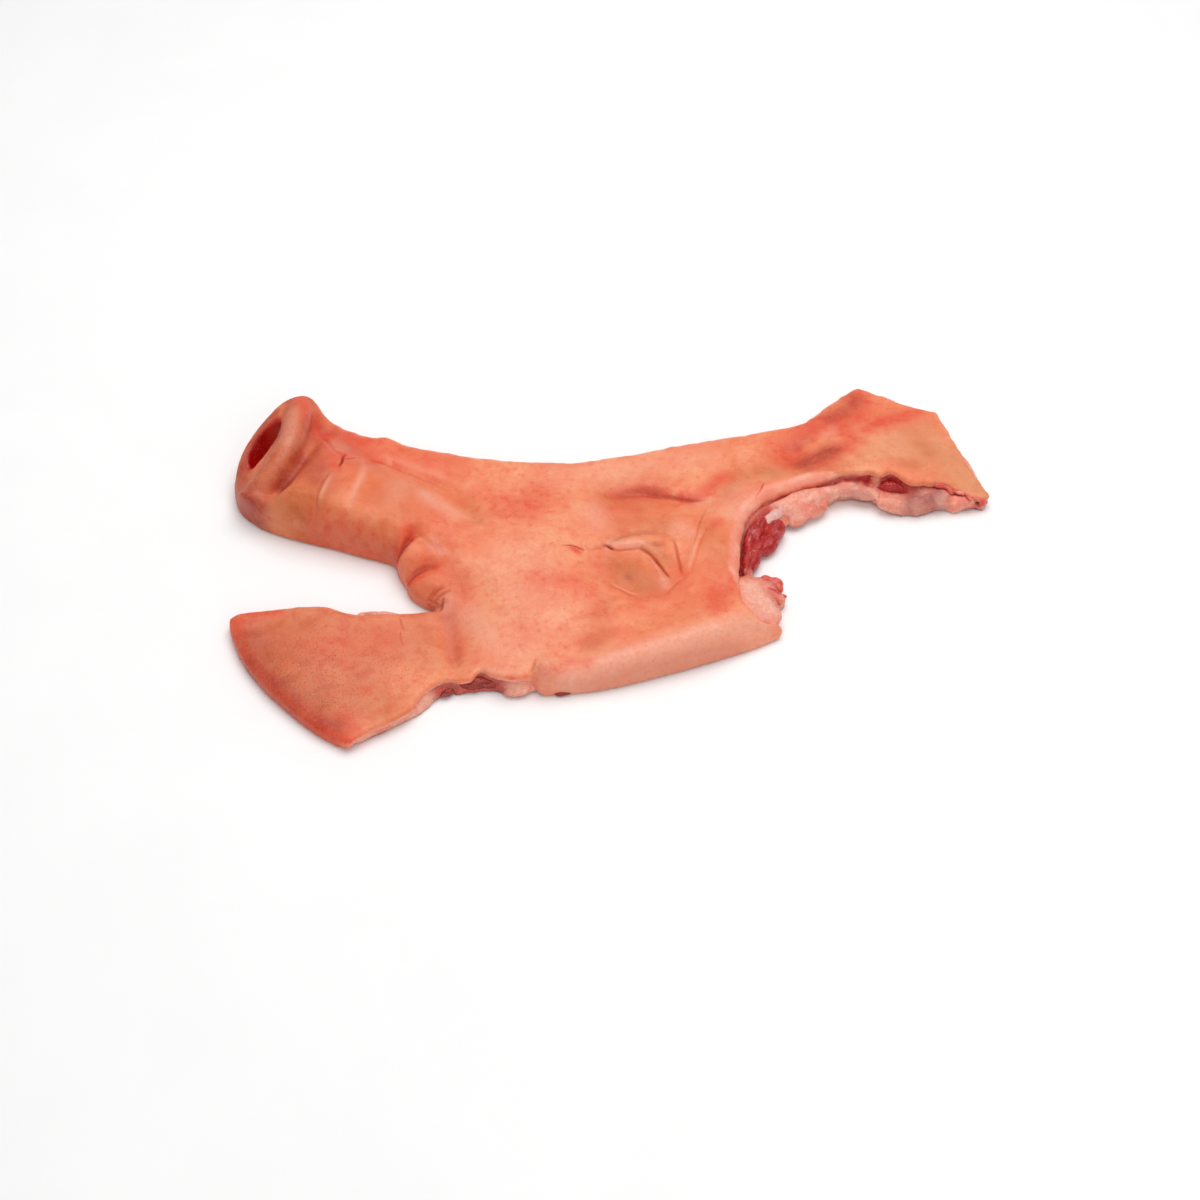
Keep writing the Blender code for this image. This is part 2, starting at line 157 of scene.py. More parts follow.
# Spot heights of the skin: x, y, height. Between them the height changes smoothly.
SNOUT_HEIGHTS = [
    (-201, 58, 10), (-199, 68, 15), (-192, 50, 14), (-193, 76, 19), (-189, 86, 22.5),  # face of the snout
    (-183, 93, 26), (-176, 100, 31), (-168, 104.5, 34), (-184, 56, 20), (-181, 72, 24),
    (-176, 90, 27), (-165, 101, 26), (-168, 60, 30), (-164, 78, 29),  # rim
    (-160, 45, 28), (-152, 94, 16.5), (-178, 42, 19.5),  # behind it
]
SKIN_HEIGHTS = [
    (-138, 88, 15.5), (-110, 80, 13), (-60, 68, 12), (0, 68, 12), (60, 85, 12), (95, 95, 12),  # far edge
    (-150, 60, 32), (-125, 42, 30), (-150, 35, 30), (-105, 25, 26), (-88, 4, 19),  # nose and upper lip
    (-122, 66, 20), (-95, 57, 15), (-72, 40, 13),  # slope beside the nose
    (-55, 10, 16), (-40, -30, 17), (-55, -60, 14), (0, -50, 15), (30, -38, 13), (56, -30, 13),  # cheek
    (5, 25, 14), (12, 0, 12), (45, 15, 15), (40, 60, 13), (72, 60, 15),  # round the eye
    (-20, -72, 14), (3, -70, 16), (21, -62, 20), (43, -51, 22), (58, -38, 21), (66, -28, 17),  # jowl
    (-88, -30, 9), (-100, -55, 10), (-140, -62, 11), (-172, -52, 10), (-125, -98, 9), (-78, -62, 10),  # chin
    (100, 82, 12), (130, 100, 14), (150, 80, 18), (125, 68, 18), (165, 68, 18),  # neck flap
    (175, 105, 11), (186, 70, 13), (199, 54, 6),
    (68, 30, 15), (60, 0, 16),  # beside the ear cut
]
SPOT_REACH = 20.0  # how far a spot height carries
SNOUT_REACH = 9.0  # the same on the snout, which is more sharply formed
SHELF_HEIGHTS = [  # the same for the flesh where it sticks out
    (197, 49, 4), (188, 47, 8), (180, 49, 10), (170, 47, 10), (160, 46, 10), (154, 54, 5),  # neck
    (147, 55, 7), (139, 56.5, 10), (130, 57.5, 12.5), (118, 54.5, 12), (108, 50.5, 12), (96, 43, 12),
    (88, 33, 9), (80, 22, 7), (73, 8, 6), (68, -2, 8),  # ear cut
    (68, -13, 12), (68, -25, 14), (72, -34, 15), (76, -14, 12), (84, -14, 10),  # jowl's end
    (78, -25, 12), (86, -23, 8), (77, -40, 12), (83, -39, 8),
    (-30, -81, 6), (-48, -81, 5), (-58, -79, 5), (-67, -77, 5), (-80, -80, 5),  # under the jaw
    (-90, -89, 6), (-100, -105, 5), (-120, -112, 4),  # under the chin
]
SHELF_REACH = 9.0
GAPS = [  # where the flesh drops away from the skin's edge: points, half width
    ([(76, 38), (73.5, 32), (69.5, 22), (67.5, 15), (65.5, 4), (66, -7)], 2.2),
    ([(78, 41), (90, 48.5), (100, 53.5), (115, 57), (131, 60), (141, 58), (150, 60)], 1.3),
    ([(150, 60), (158, 54), (169, 54), (180, 55), (190, 50), (200, 51)], 1.4),
    ([(-60, -77), (-66, -76), (-72, -80), (-79, -79)], 1.6),
]
GAP_DEPTH = 0.6  # share of the flesh's height that is missing there

# Folds of the skin: points, half width, height (grooves are negative).
FOLDS = [
    ([(-158, 88), (-160, 74), (-163, 60), (-170, 48), (-176, 41)], 6.0, -7.5),  # behind the snout's rim
    ([(-136, 74), (-122, 67), (-108, 64), (-94, 57), (-79, 46), (-70, 32)], 7.0, -4.0),  # beside the nose
    ([(-113, -3), (-107, 3), (-102, 10), (-96, 13)], 3.0, -5.0),  # gathers of the upper lip
    ([(-106, -16), (-100, -12), (-94, -9), (-88, -7)], 3.0, -3.4),
    ([(-94, -29), (-84, -28)], 4.0, -3.5),  # corner of the mouth
    ([(-82, -34), (-79, -48), (-78, -60), (-75, -76)], 8.0, -3.0),  # between chin and cheek
    ([(0, 46), (12, 47), (24, 46), (36, 43), (50, 41)], 5.0, -2.4),  # under the brow
    ([(0, 56), (20, 56), (40, 52)], 7.0, 2.2),  # the brow itself
    ([(2, 10), (14, 12), (24, 7), (29, -4)], 4.0, 2.6),  # the upper lid
    ([(4, -5), (12, -10), (20, -17)], 7.0, 2.4),  # the lower lid
    ([(56, 30), (54, 10), (52, -8)], 8.0, 2.2),  # roll behind the eye
    ([(50, -20), (55, -30)], 7.0, -2.2),  # hollow above the jowl's end
    ([(4, -50), (26, -40), (42, -33)], 8.0, -1.6),  # hollow along the jowl
    ([(58, -58), (80, -46), (102, -34)], 8.0, -8.5),  # the jowl's end droops to the board
    ([(92, 78), (104, 83)], 9.0, -3.5),  # hollow before the neck flap
]
# Fine folds that only the skin's own mesh has, with how much painted shade darkens their bottom to dark red,
# from 0 to 1; a value below 0 paints the line paler instead.
CREASES = [
    ([(-3, 9.5), (-0.5, 7), (3, 5.5), (7.5, 6), (14.5, 6.5), (18, 4)], 0.5, -0.7, 0.35),  # the shut eye
    ([(14.5, 6.5), (18, 4), (20.5, 1), (23, -3), (25.5, -7), (28.5, -13)], 0.5, -0.9, 0.5),
    ([(-4.5, 9.5), (-2, 8.5), (0.5, 6)], 0.8, -1.2, 1.0),
    ([(22, -1), (24, -5), (26.5, -9.5), (29.5, -15)], 0.5, -0.5, 0.6),
    ([(-12.5, 6), (-8, 8), (-4, 9.5)], 1.3, -0.7, 0.2),  # before its inner corner
    ([(-1.5, 11), (4, 14.5), (9.5, 16.5), (15.5, 18), (22.5, 17), (27.5, 15.5), (31, 13)], 1.2, -1.0, 0.1),
    ([(31.5, 11.5), (33, 6), (33.5, 0.5), (34.5, -6), (35, -11.5)], 0.55, -1.0, 0.5),  # end of the lid's fold
    ([(1, 8.5), (7.5, 9), (14.5, 9), (20.5, 4.5), (25.5, -3)], 1.8, 0.9, -0.25),  # edge of the upper lid
    ([(14.5, 4), (19.5, -0.5), (23.5, -9), (26, -15.5)], 0.8, 0.6, -0.35),  # rim of the lower lid
    ([(-2, -15.5), (0, -20), (4, -23), (8, -26), (12.5, -29)], 0.5, -0.5, 0.2),  # below the lower lid
    ([(-0.5, -17), (3, -20.5), (7.5, -24), (12, -26.5)], 0.7, 0.4, -0.45),
    ([(27, -27), (30, -22.5), (33.5, -18), (37.5, -15)], 0.6, -0.6, 0.2),  # outer corner of the eye
    ([(49.5, 35), (47, 28), (45, 21), (43.5, 14.5), (41.5, 7)], 0.5, -0.7, 0.2),  # behind the eye
    ([(48.5, 17.5), (46, 10.5), (44, 3.5), (42.5, -3), (40, -11.5)], 0.5, -0.6, 0.15),
    ([(45.5, 16.5), (43, 8), (40.5, -1.5), (38.5, -9)], 1.8, 0.7, -0.3),
    ([(6, 47), (10.5, 48), (15.5, 48.5), (20.5, 48.5), (24.5, 47.5)], 2.4, -1.0, 0.1),  # under the brow
    ([(20, 48), (26.5, 46.5), (31.5, 45.5), (36, 44), (43.5, 42.5), (48, 42)], 0.9, -0.9, 0.35),
    ([(-25.5, 7), (-21.5, 8), (-18, 7.5), (-14.5, 5)], 0.5, -0.9, 0.8),  # small nick before the eye
    ([(-14, 12.5), (-14.5, 8), (-13, 4)], 1.2, 0.7, -0.2),
    ([(-162, 66), (-164.5, 58), (-168, 50), (-173, 43)], 2.2, -1.0, 0.25),  # behind the snout's rim
    ([(-140.5, 64), (-141.5, 60), (-141.5, 56), (-142.5, 51.5)], 0.6, -1.6, 1.2),  # small cut on the nose
    ([(-141.5, 58.5), (-138, 60.5), (-135, 62.5)], 0.8, -0.6, 0.35),
    ([(-147.5, 46), (-150, 39.5), (-151, 34), (-152, 29), (-152.5, 22)], 0.9, -0.9, 0.15),  # round the nose
    ([(-146, 43.5), (-148, 37), (-149.5, 32), (-150.5, 26.5)], 1.8, 0.3, -0.45),
    ([(-130, 56), (-130.5, 45.5), (-132, 37), (-133.5, 30), (-134.5, 23.5)], 2.2, -0.6, -0.5),
    ([(-127, 66), (-124, 68), (-118, 66.5), (-102, 60), (-87, 53.5), (-81, 48)], 2.0, -1.0, 0.2),
    ([(-121, 72), (-107.5, 67.5), (-91, 60.5), (-79, 53.5)], 3.0, 0.7, -0.2),
    ([(-157, 89), (-152.5, 79), (-146, 66), (-141.5, 62)], 1.5, -0.8, 0.3),
    ([(-110.5, -2), (-107.5, 2.5), (-105.5, 5.5), (-102, 10)], 1.3, -2.4, 1.0),  # gathers of the upper lip
    ([(-104, -15), (-101, -12), (-97.5, -10), (-94, -8.5), (-90, -8)], 1.0, -1.2, 0.8),
    ([(-102.5, 13), (-98, 10), (-93.5, 5), (-87, 1)], 1.6, -0.9, 0.25),
    ([(-92, -25), (-90, -23), (-88, -21.5), (-85, -20)], 0.5, -0.8, 0.35),  # wrinkles at the mouth's corner
    ([(-90, -26), (-88, -24.5), (-85.5, -23), (-82, -21.5)], 0.5, -0.8, 0.35),
    ([(-94, -25.5), (-92, -23.5), (-89, -20)], 0.5, -0.7, 0.3),
    ([(-93, -25), (-89, -26.5), (-86.5, -28)], 0.8, -1.2, 0.5),
    ([(-86.5, -31), (-86, -28), (-85.5, -25)], 0.8, -1.4, 0.7),
    ([(-106.5, -37.5), (-105, -42.5), (-103.5, -47)], 0.5, -0.4, 0.3),  # lines across the chin
    ([(-105.5, -47.5), (-105, -51.5), (-103.5, -57)], 0.5, -0.3, 0.2),
    ([(-81.5, -50), (-79.5, -58), (-77.5, -66.5), (-76.5, -76.5)], 4.0, -1.4, 0.1),
    ([(-38, -70), (-38.5, -74), (-39.5, -77)], 0.8, -1.0, 0.45),  # beside the nodule under the jaw
    ([(80.5, 54), (79, 49.5), (76.5, 44.5)], 0.5, -0.7, 0.6),  # small cut by the ear
]
BULGES = [  # round swellings of the skin: x, y, half width, height
    (-32, -76.5, 4.5, 5.5),  # the nodule under the jaw
    (-121, 86, 5.0, 2.0), (-18, 0, 9.0, 0.8),  # on the nose and before the eye
    (-89, -17, 6.0, 1.8), (-99, -3, 6.0, 2.6), (-83, -27, 3.5, 1.8),  # corner of the mouth
    (26.5, -18.5, 2.2, 0.8), (47, 41, 1.6, 0.6), (51, 43, 1.6, 0.6),  # below the eye and at the brow's end
]
SNOUT_RIM = [  # middle of the snout's round rim, from the midline over the top to the lip
    (-166, 105, 12), (-168, 101.5, 24), (-168.5, 89, 26), (-170.5, 72, 25.5), (-176.5, 57, 23),
    (-183.5, 47.5, 17.5), (-189.5, 44.5, 9),
]
RIM_RADIUS = 7.4
# The nostril is a dish in the snout's face and a deeper hole in the dish: centre, half widths along the slit,
# into the snout and across the slit, direction of the slit, and direction into the snout.
NOSTRIL = [
    ((-186.5, 76.5, 23), (16, 12, 5.4), (0.48, 0.84, 0.24), (0.25, -0.2, -0.95)),
    ((-184, 74.5, 16), (12, 15, 4.8), (0.52, 0.82, 0.2), (0.6, -0.3, -0.74)),
]

# Stains of the skin, with the painted shade and painted light noted below: middle line, half width, strength.
STAINS = {
    "orange": [
        ([(-150, 45), (-125, 40), (-100, 30)], 20, 0.9),
        ([(-135, 80), (-105, 70), (-85, 60)], 12, 0.8),
        ([(-90, -5), (-80, -25), (-80, -45)], 12, 0.8),
        ([(-10, 22), (15, 30), (45, 25)], 14, 0.6),
        ([(0, -8), (20, -20), (50, -12)], 14, 0.8),
        ([(30, -35), (52, -22)], 12, 0.7),
        ([(62, 62), (90, 75), (110, 70)], 12, 0.45),
        ([(105, 98), (150, 108), (172, 100)], 12, 0.7),
        ([(-165, -45), (-110, -75), (-100, -95)], 20, 0.4),
    ],
    "dusky_and_shade": [
        # on the snout: its dusky tone, with painted shade on its face, under its rim and behind it
        ([(-168, 102), (-170, 72), (-178, 56), (-188, 44)], 12, 1.0),
        ([(-176, 51), (-190, 36)], 9, 0.9),
        ([(-184, 95), (-197, 67), (-195, 45)], 8, 1.0),
        ([(-158, 80), (-152, 42)], 11, 0.8),
        ([(-150, 86), (-138, 72)], 10, 0.7),
        ([(-174, -53), (-153, -67), (-141, -85)], 26, 0.6),
        ([(-155, -40), (-115, -53)], 18, 0.45),
        ([(-131, -92), (-123, -67)], 20, 0.5),
        ([(-140, 58), (-128, 60)], 9, 0.4),
        ([(-104, -60), (-96, -39)], 14, 0.4),
        ([(-100, -17), (-92, -24), (-83, -27)], 7, 0.35),
        ([(-88, -32), (-81, -41)], 6, 0.5),
        # painted shade along the jowl's rolled lower edge
        ([(-25, -84), (18, -73), (63, -57)], 4, 0.5),
    ],
    "sallow_and_shade": [
        # painted shade dulling the far end of the neck flap
        ([(160, 80), (180, 75), (192, 62)], 16, 0.9),
        ([(140, 75), (170, 95)], 12, 0.6),
        ([(192, 62), (200, 53)], 6, 0.9),
        ([(8, -12), (18, -20)], 8, 0.6),
        ([(85, 62), (110, 65), (130, 66)], 6, 0.6),
    ],
    "tan": [
        ([(-170, 32), (-160, 28), (-152, 28)], 9, 0.9),
        ([(-167, 98), (-170, 74), (-180, 52)], 10, 0.35),
        ([(-158, 95), (-140, 85)], 8, 0.35),
        ([(-109, 17), (-119, 27), (-110, 37)], 14, 0.4),
        ([(-88, 6), (-77, -16)], 8, 0.4),
        ([(-77, 45), (-69, 26)], 5, 0.5),
        ([(0, 12), (14, 18), (28, 20)], 4, 0.7),
        ([(6, 24), (26, 24)], 8, 0.45),
        ([(17, 8), (28, -3)], 4, 0.6),
        ([(4, -4), (11, -13), (19, -20)], 9, 0.7),
        ([(-8, -42), (-4, -34)], 5, 0.6),
        ([(-11, -61), (-5, -54)], 6, 0.7),
        ([(61, 47), (71, 58), (82, 64)], 7, 0.6),
        ([(51, 16), (59, -5)], 7, 0.4),
        ([(88, 75), (116, 62)], 7, 0.4),
        ([(156, 66), (160, 65)], 4, 0.7),
        ([(167, 82), (170, 76)], 5, 0.5),
        ([(-121, -91), (-107, -98)], 10, 0.4),
        ([(-173, -62), (-164, -74), (-148, -91), (-134, -102)], 9, 0.7),
        ([(-167, -45), (-152, -46)], 6, 0.5),
        ([(-90, -53), (-87, -66)], 8, 0.4),
        ([(-1, 42), (15, 36)], 9, 0.5),
    ],
    "pale": [
        ([(-50, -5), (-40, -35), (-50, -60)], 22, 0.35),
        ([(-30, 62), (10, 66), (50, 78)], 12, 0.3),
        ([(62, 30), (66, 42)], 9, 0.45),
        ([(-8, 27), (-11, 34)], 8, 0.5),
        ([(-1, 10), (14, 9)], 3, 0.7),
        ([(35, 20), (40, 17)], 5, 0.5),
        ([(26, -16), (27, -21)], 3, 0.6),
        ([(46, 41), (51, 42)], 3, 0.6),
        ([(-97, 38), (-84, 28)], 7, 0.6),
        ([(-110, 42), (-112, 32)], 6, 0.35),
        ([(-92, 3), (-87, 0)], 4, 0.5),
        ([(-60, -56), (-71, -37)], 9, 0.5),
        ([(-64, -74), (-45, -79)], 3, 0.5),
        # painted light on the jowl's rolled lower band
        ([(-25, -80), (13, -68), (38, -59), (74, -44)], 7, 0.85),
        ([(-33, -79), (-31, -74)], 5, 0.8),
        ([(-83, -26), (-83, -31)], 4, 0.6),
        ([(117, 94), (122, 97)], 4, 0.5),
        ([(134, 86), (155, 80)], 8, 0.1),
        # painted highlight along the crest of the snout's rim
        ([(-171, 67), (-169, 91)], 4, 0.4),
    ],
    "red": [
        ([(-56, 42), (-46, 34), (-38, 51)], 12, 0.6),
        ([(-38, -18), (-15, -22), (-8, -40)], 9, 0.45),
        ([(-21, -72), (-13, -72)], 4, 0.6),
        ([(-38, -56), (-45, -50)], 10, 0.3),
        ([(-25, -58), (-1, -53)], 9, 0.3),
        ([(38, 44), (47, 47), (58, 58)], 5, 0.9),
        ([(53, -26), (51, -37)], 6, 0.85),
        ([(63, -16), (55, -28)], 4, 0.7),
        ([(54, 21), (56, 23)], 3, 0.6),
        ([(9, 38), (0, 36)], 5, 0.4),
        ([(30, -23), (14, -31)], 6, 0.3),
        ([(34, -7), (36, -13)], 3, 0.6),
        ([(-20, 6), (-17, 3)], 2, 1.0),
        ([(64, 43), (84, 53)], 4, 0.4),
        ([(132, 124), (137, 117), (132, 106)], 9, 1.0),
        ([(125, 107), (107, 99), (97, 87)], 9, 0.9),
        ([(94, 81), (101, 74), (112, 73)], 10, 1.0),
        ([(127, 97), (129, 86), (120, 78)], 7, 0.9),
        ([(138, 95), (150, 103), (168, 114)], 6, 0.9),
        ([(2, 47), (15, 49), (26, 48)], 5, 0.8),
        ([(4, 4), (-8, 2), (-2, -14)], 4, 0.3),
        ([(-168, 104), (-165, 98), (-161, 86)], 4, 0.9),
        ([(-158, 91), (-143, 85), (-135, 82)], 9, 0.9),
        ([(-151, 71), (-149, 67)], 3, 0.8),
        ([(-146, 52), (-144, 51)], 3, 0.7),
        ([(-145, 61), (-138, 63), (-128, 75)], 8, 0.7),
        ([(-127, 67), (-123, 68)], 3, 1.0),
        ([(-115, 67), (-113, 66)], 3, 0.6),
        ([(-127, 81), (-102, 76), (-81, 72)], 8, 0.5),
        ([(-155, 22), (-127, 11), (-113, 6)], 4, 0.5),
        ([(-111, -2), (-107, 5), (-104, 10)], 5, 1.0),
        ([(-105, -5), (-96, -2)], 6, 0.3),
        ([(-102, -14), (-91, -7)], 4, 0.6),
        ([(-88, 21), (-84, 7)], 8, 0.4),
        ([(-85, -5), (-75, -21)], 8, 0.3),
        ([(-81, -51), (-77, -65)], 5, 0.25),
        ([(-190, -38), (-187, -50)], 6, 1.0),
        ([(-186, -35), (-168, -33)], 4, 0.9),
        ([(-184, -60), (-163, -88), (-134, -111), (-126, -116)], 5, 1.0),
        ([(-130, -103), (-124, -109)], 6, 0.7),
        ([(-131, -69), (-130, -72)], 2.5, 0.4),
        ([(-121, -85), (-118, -87)], 2, 0.5),
        ([(-139, -57), (-115, -53)], 10, 0.35),
        ([(-34, -80), (-18, -73)], 4, 0.35),
        ([(-49, -81), (-37, -81)], 3, 0.5),
    ],
    # dark red patches, and painted shade where noted
    "dark": [
        ([(103, 71), (111, 74), (118, 78)], 6, 0.95),
        ([(98, 86), (106, 92)], 5, 0.3),
        ([(120, 106), (130, 114), (135, 121)], 6, 0.55),
        # painted shade in the crease under the brow
        ([(5, 47), (15, 49), (24, 48)], 4, 0.6),
        ([(25, 47), (45, 43)], 2, 0.5),
        ([(0, 48), (26, 49)], 7, 0.25),
        # painted shade behind the snout's rim, on the snout's face and under it
        ([(-162, 87), (-162, 79)], 3, 0.4),
        ([(-163, 62), (-167, 52), (-172, 46)], 4, 0.95),
        ([(-197, 46), (-190, 38), (-183, 33)], 5, 0.8),
        ([(-184, 92), (-197, 62), (-194, 44)], 4, 0.6),
        ([(-158, 92), (-150, 90)], 4, 0.4),
        # dark red-brown along the chin's rounded edge, darkened further as painted shade where it rolls down
        ([(-180, -53), (-174, -63)], 9, 0.6),
        ([(-177, -65), (-168, -76), (-151, -94)], 6, 0.75),
        ([(-144, -101), (-131, -107)], 5, 0.7),
        ([(-155, -87), (-141, -99)], 7, 0.4),
        # painted shade under the upper lip's rolled edge and in the valley between chin and cheek
        ([(-160, 21), (-139, 14), (-111, 4)], 3, 0.3),
        ([(-81, -33), (-77, -65)], 4, 0.25),
        ([(8, -14), (9, -15)], 2, 0.6),
        ([(22, 8), (25, 7)], 2, 0.5),
    ],
}
STUBBLE = [
    ([(-150, -60), (-135, -80), (-140, -98)], 20, 1.0),
    ([(-118, -62), (-104, -78)], 14, 0.7),
    ([(-168, -70), (-150, -90), (-136, -100)], 9, 1.0),
    ([(-166, 88), (-170, 70), (-178, 56), (-186, 46)], 10, 0.8),
    ([(10, 26), (30, 26)], 7, 0.4),
]
STAIN_STRENGTH = 1.2

# Unevenness of a surface: height, size of the lumps, seed.
SKIN_LUMPS = [(0.45, 16, 0), (0.22, 6, 5), (0.1, 2.6, 9)]
WALL_LUMPS = [(0.35, 2.2, 13)]
FLESH_LUMPS = [(0.9, 7, 3), (0.5, 3.2, 4)]
UNDERSIDE_LUMPS = [(0.5, 14, 2), (0.25, 4, 6)]
LOBE_LUMPS = [(0.4, 5.5, 2), (0.2, 2.0, 4)]
LEAN_PATCHES = [(1.0, 34, 8), (0.4, 9, 1)]
BEVEL_LUMPS = [(0.8, 3.0, 21)]
FRAY = 1.6  # how far a frayed edge wanders
FRAY_SIZES = (5, 1.9)
UNDERSIDE_RISE = 0.7  # how high the fat body's underside hangs above the board
PRESSED_FLAT = 0.25  # how far the skin is pressed onto the board
BOARD_CLEARANCE = 0.12  # lowest place of the flesh

# Mesh work
NEAR = 0.4  # weight of a soft line from which on a place counts as near it
FINER_BANDS = [(2.0, 1.8), (1.0, 1.0)]  # creases up to this half width get a finer mesh this far around
CREASE_MARGIN = 1.5  # how far around the creases the mesh stays fine
TUCK = (2.0, 5.0)  # distances from an uncut edge over which the skin comes up from the board
SNOUT_SOLID = 60.0  # lowers the skin's underside to the board where the snout is
SNOUT_SHARE = (0.3, 0.35)  # a place with less than the first isn't snout, one with more than the second is
HIDDEN_SHARE = 0.1  # faces kept where nothing shows
GROOVE_DEPTH = 0.16  # depth of the grooves in torn flesh, as a share of the fibre's size
GROOVE_LENGTH = 5.0  # length of a groove, as a multiple of its width


def smooth_path(points, step):
    """Points at about equal steps on a smooth curve through the given ones, of any number of columns."""
    p = np.array(points, float)
    if len(p) == 1:
        return p
    padded = np.vstack([2 * p[0] - p[1], p, 2 * p[-1] - p[-2]])
    path = []
    for before, a, b, after in zip(padded, padded[1:], padded[2:], padded[3:]):
        count = max(1, round(float(np.linalg.norm((b - a)[:2])) / step))
        for t in np.arange(count) / count:
            square = (2 * before - 5 * a + 4 * b - after) * t**2
            cube = (3 * a - before - 3 * b + after) * t**3
            path.append(0.5 * (2 * a + (b - before) * t + square + cube))
    return np.array(path + [p[-1]])


def ring(outline):
    """The closed outline of several stretches, sampled, with edges that change gradually."""
    path = np.vstack([smooth_path(stretch, BLANK_STEP)[:-1] for stretch in outline])
    around = range(-EDGE_CHANGE, EDGE_CHANGE + 1)
    path[:, 2:] = sum(np.roll(path[:, 2:], i, 0) for i in around) / len(around)
    return path


def ring_normals(path):
    """Unit normals along a closed path, pointing to its inside."""
    along_it = np.roll(path[:, :2], -1, 0) - np.roll(path[:, :2], 1, 0)
    along_it /= np.linalg.norm(along_it, axis=1)[:, None]
    x, y = path[:, 0], path[:, 1]
    area = np.sum(x * np.roll(y, -1) - np.roll(x, -1) * y)
    return np.stack([-along_it[:, 1], along_it[:, 0]], 1) * np.sign(area)


def frayed(path, seed):
    """The outline with its cut edges made uneven."""
    out = path.copy()
    long, short = FRAY_SIZES
    wobble = [noise.noise((x / long, y / long, seed)) for x, y in path[:, :2]]
    jitter = [0.7 * noise.noise((x / short, y / short, seed + 7)) for x, y in path[:, :2]]
    shift = (np.array(wobble) + np.array(jitter)) * path[:, 4] * FRAY
    out[:, :2] += ring_normals(path) * shift[:, None]
    return out


def inset(path):
    """The outline drawn in, a little at cut edges and more at rolled ones, without the loops at corners."""
    amount = EDGE_INSET[0] + (EDGE_INSET[1] - EDGE_INSET[0]) * path[:, 5]
    moved = path.copy()
    moved[:, :2] += ring_normals(path) * amount[:, None]
    distance, _ = nearest(path, moved)
    return moved[distance > INSET_KEPT * np.minimum(amount, np.roll(amount, INSET_LAG))]


def nearest(path, xy):
    """Distance from each place to a sampled path, and the index of the nearest sample."""
    tree = KDTree(len(path))
    for i, p in enumerate(path):
        tree.insert((p[0], p[1], 0), i)
    tree.balance()
    found = [tree.find((p[0], p[1], 0)) for p in xy]
    return np.array([f[2] for f in found]), np.array([f[1] for f in found])


def inside(path, xy):
    """True for each place that the closed path goes round."""
    crossings = np.zeros(len(xy), int)
    for (x1, y1), (x2, y2) in zip(path[:, :2], np.roll(path[:, :2], -1, 0)):
        straddles = (xy[:, 1] < y1) != (xy[:, 1] < y2)
        with np.errstate(divide="ignore", invalid="ignore"):
            at = x1 + (xy[:, 1] - y1) * (x2 - x1) / (y2 - y1)
        crossings += straddles & (xy[:, 0] < at)
    return crossings % 2 == 1


def smoothstep(low, high, value):
    t = np.clip((value - low) / (high - low), 0, 1)
    return t * t * (3 - 2 * t)


def from_spots(spots, reach, xy):
    """The height at each place, from spot heights by distance, and how well the spots cover it."""
    total = np.zeros(len(xy))
    weight = np.full(len(xy), 1e-9)
    for x, y, height in spots:
        near = np.exp(-((xy[:, 0] - x) ** 2 + (xy[:, 1] - y) ** 2) / reach**2)
        total += near * height
        weight += near
    return total / weight, np.clip(weight, 0, 1)


def stroke(points, width, xy, taper=False):
    """A soft line's weight at each place: 1 on the line, falling off over its width."""
    path = smooth_path(points, min(1.0, 0.3 * width))
    weight = np.zeros(len(xy))
    reach = 2.6 * width
    low, high = path.min(0) - reach, path.max(0) + reach
    near = np.flatnonzero(((xy > low) & (xy < high)).all(1))
    if not len(near):
        return weight
    best = np.full(len(near), np.inf)
    run = np.zeros(len(near))
    for i, p in enumerate(path):
        d = np.hypot(xy[near, 0] - p[0], xy[near, 1] - p[1])
        closer = d < best
        best[closer] = d[closer]
        run[closer] = i / max(1, len(path) - 1)
    weight[near] = np.exp(-((best / width) ** 2))
    if taper:
        weight[near] *= np.sqrt(np.clip(np.sin(np.pi * (0.04 + 0.92 * run)), 0, 1))
    return weight


def strongest(strokes, xy):
    """The strongest of several soft lines at each place."""
    total = np.zeros(len(xy))
    for points, width, strength in strokes:
        total = np.maximum(total, strength * stroke(points, width, xy))
    return total


def by_creases(xy, spare, widest=math.inf):
    """True for each place that lies close to a crease that is narrow enough."""
    near = [stroke(points, width + spare, xy) for points, width, _, _ in CREASES if width < widest]
    return np.max(near, axis=0) > NEAR


def noise_at(points, size, seed):
    """Smooth noise from about -1 to 1 at each place, with lumps of the given size."""
    return np.array([noise.noise(Vector(p) / size + Vector((seed, seed, seed))) for p in points])


def lumps(points, layers):
    """Uneven heights at each place, from layers of noise."""
    return sum(height * noise_at(points, size, seed) for height, size, seed in layers)


def edge_share(path, xy):
    """How much of the full height is left at each place, from its distance to the outline's edge."""
    distance, index = nearest(path, xy)
    roll, wall = path[index, 2], path[index, 3]
    inward = np.clip((distance + EDGE_SLACK) / (roll + EDGE_SLACK), 0, 1)
    return wall + (1 - wall) * np.sqrt(1 - (1 - inward) ** 2)


def skin_top(xy, path):
    """Height of the skin's outer side at each place, with the large folds."""
    face, _ = from_spots(SKIN_HEIGHTS, SPOT_REACH, xy)
    snout, cover = from_spots(SNOUT_HEIGHTS, SNOUT_REACH, xy)
    top = face + (snout - face) * cover
    for points, width, height in FOLDS:
        top += height * stroke(points, width, xy, taper=True)
    for x, y, width, height in BULGES:
        top += height * stroke([(x, y)], width, xy)
    return top * edge_share(path, xy), cover


def pick(*objects):
    """Selects these objects alone, the first one active."""
    bpy.ops.object.select_all(action="DESELECT")
    for obj in objects:
        obj.select_set(True)
    bpy.context.view_layer.objects.active = objects[0]


def apply(obj, modifier):
    pick(obj)
    bpy.ops.object.modifier_apply(modifier=modifier.name)


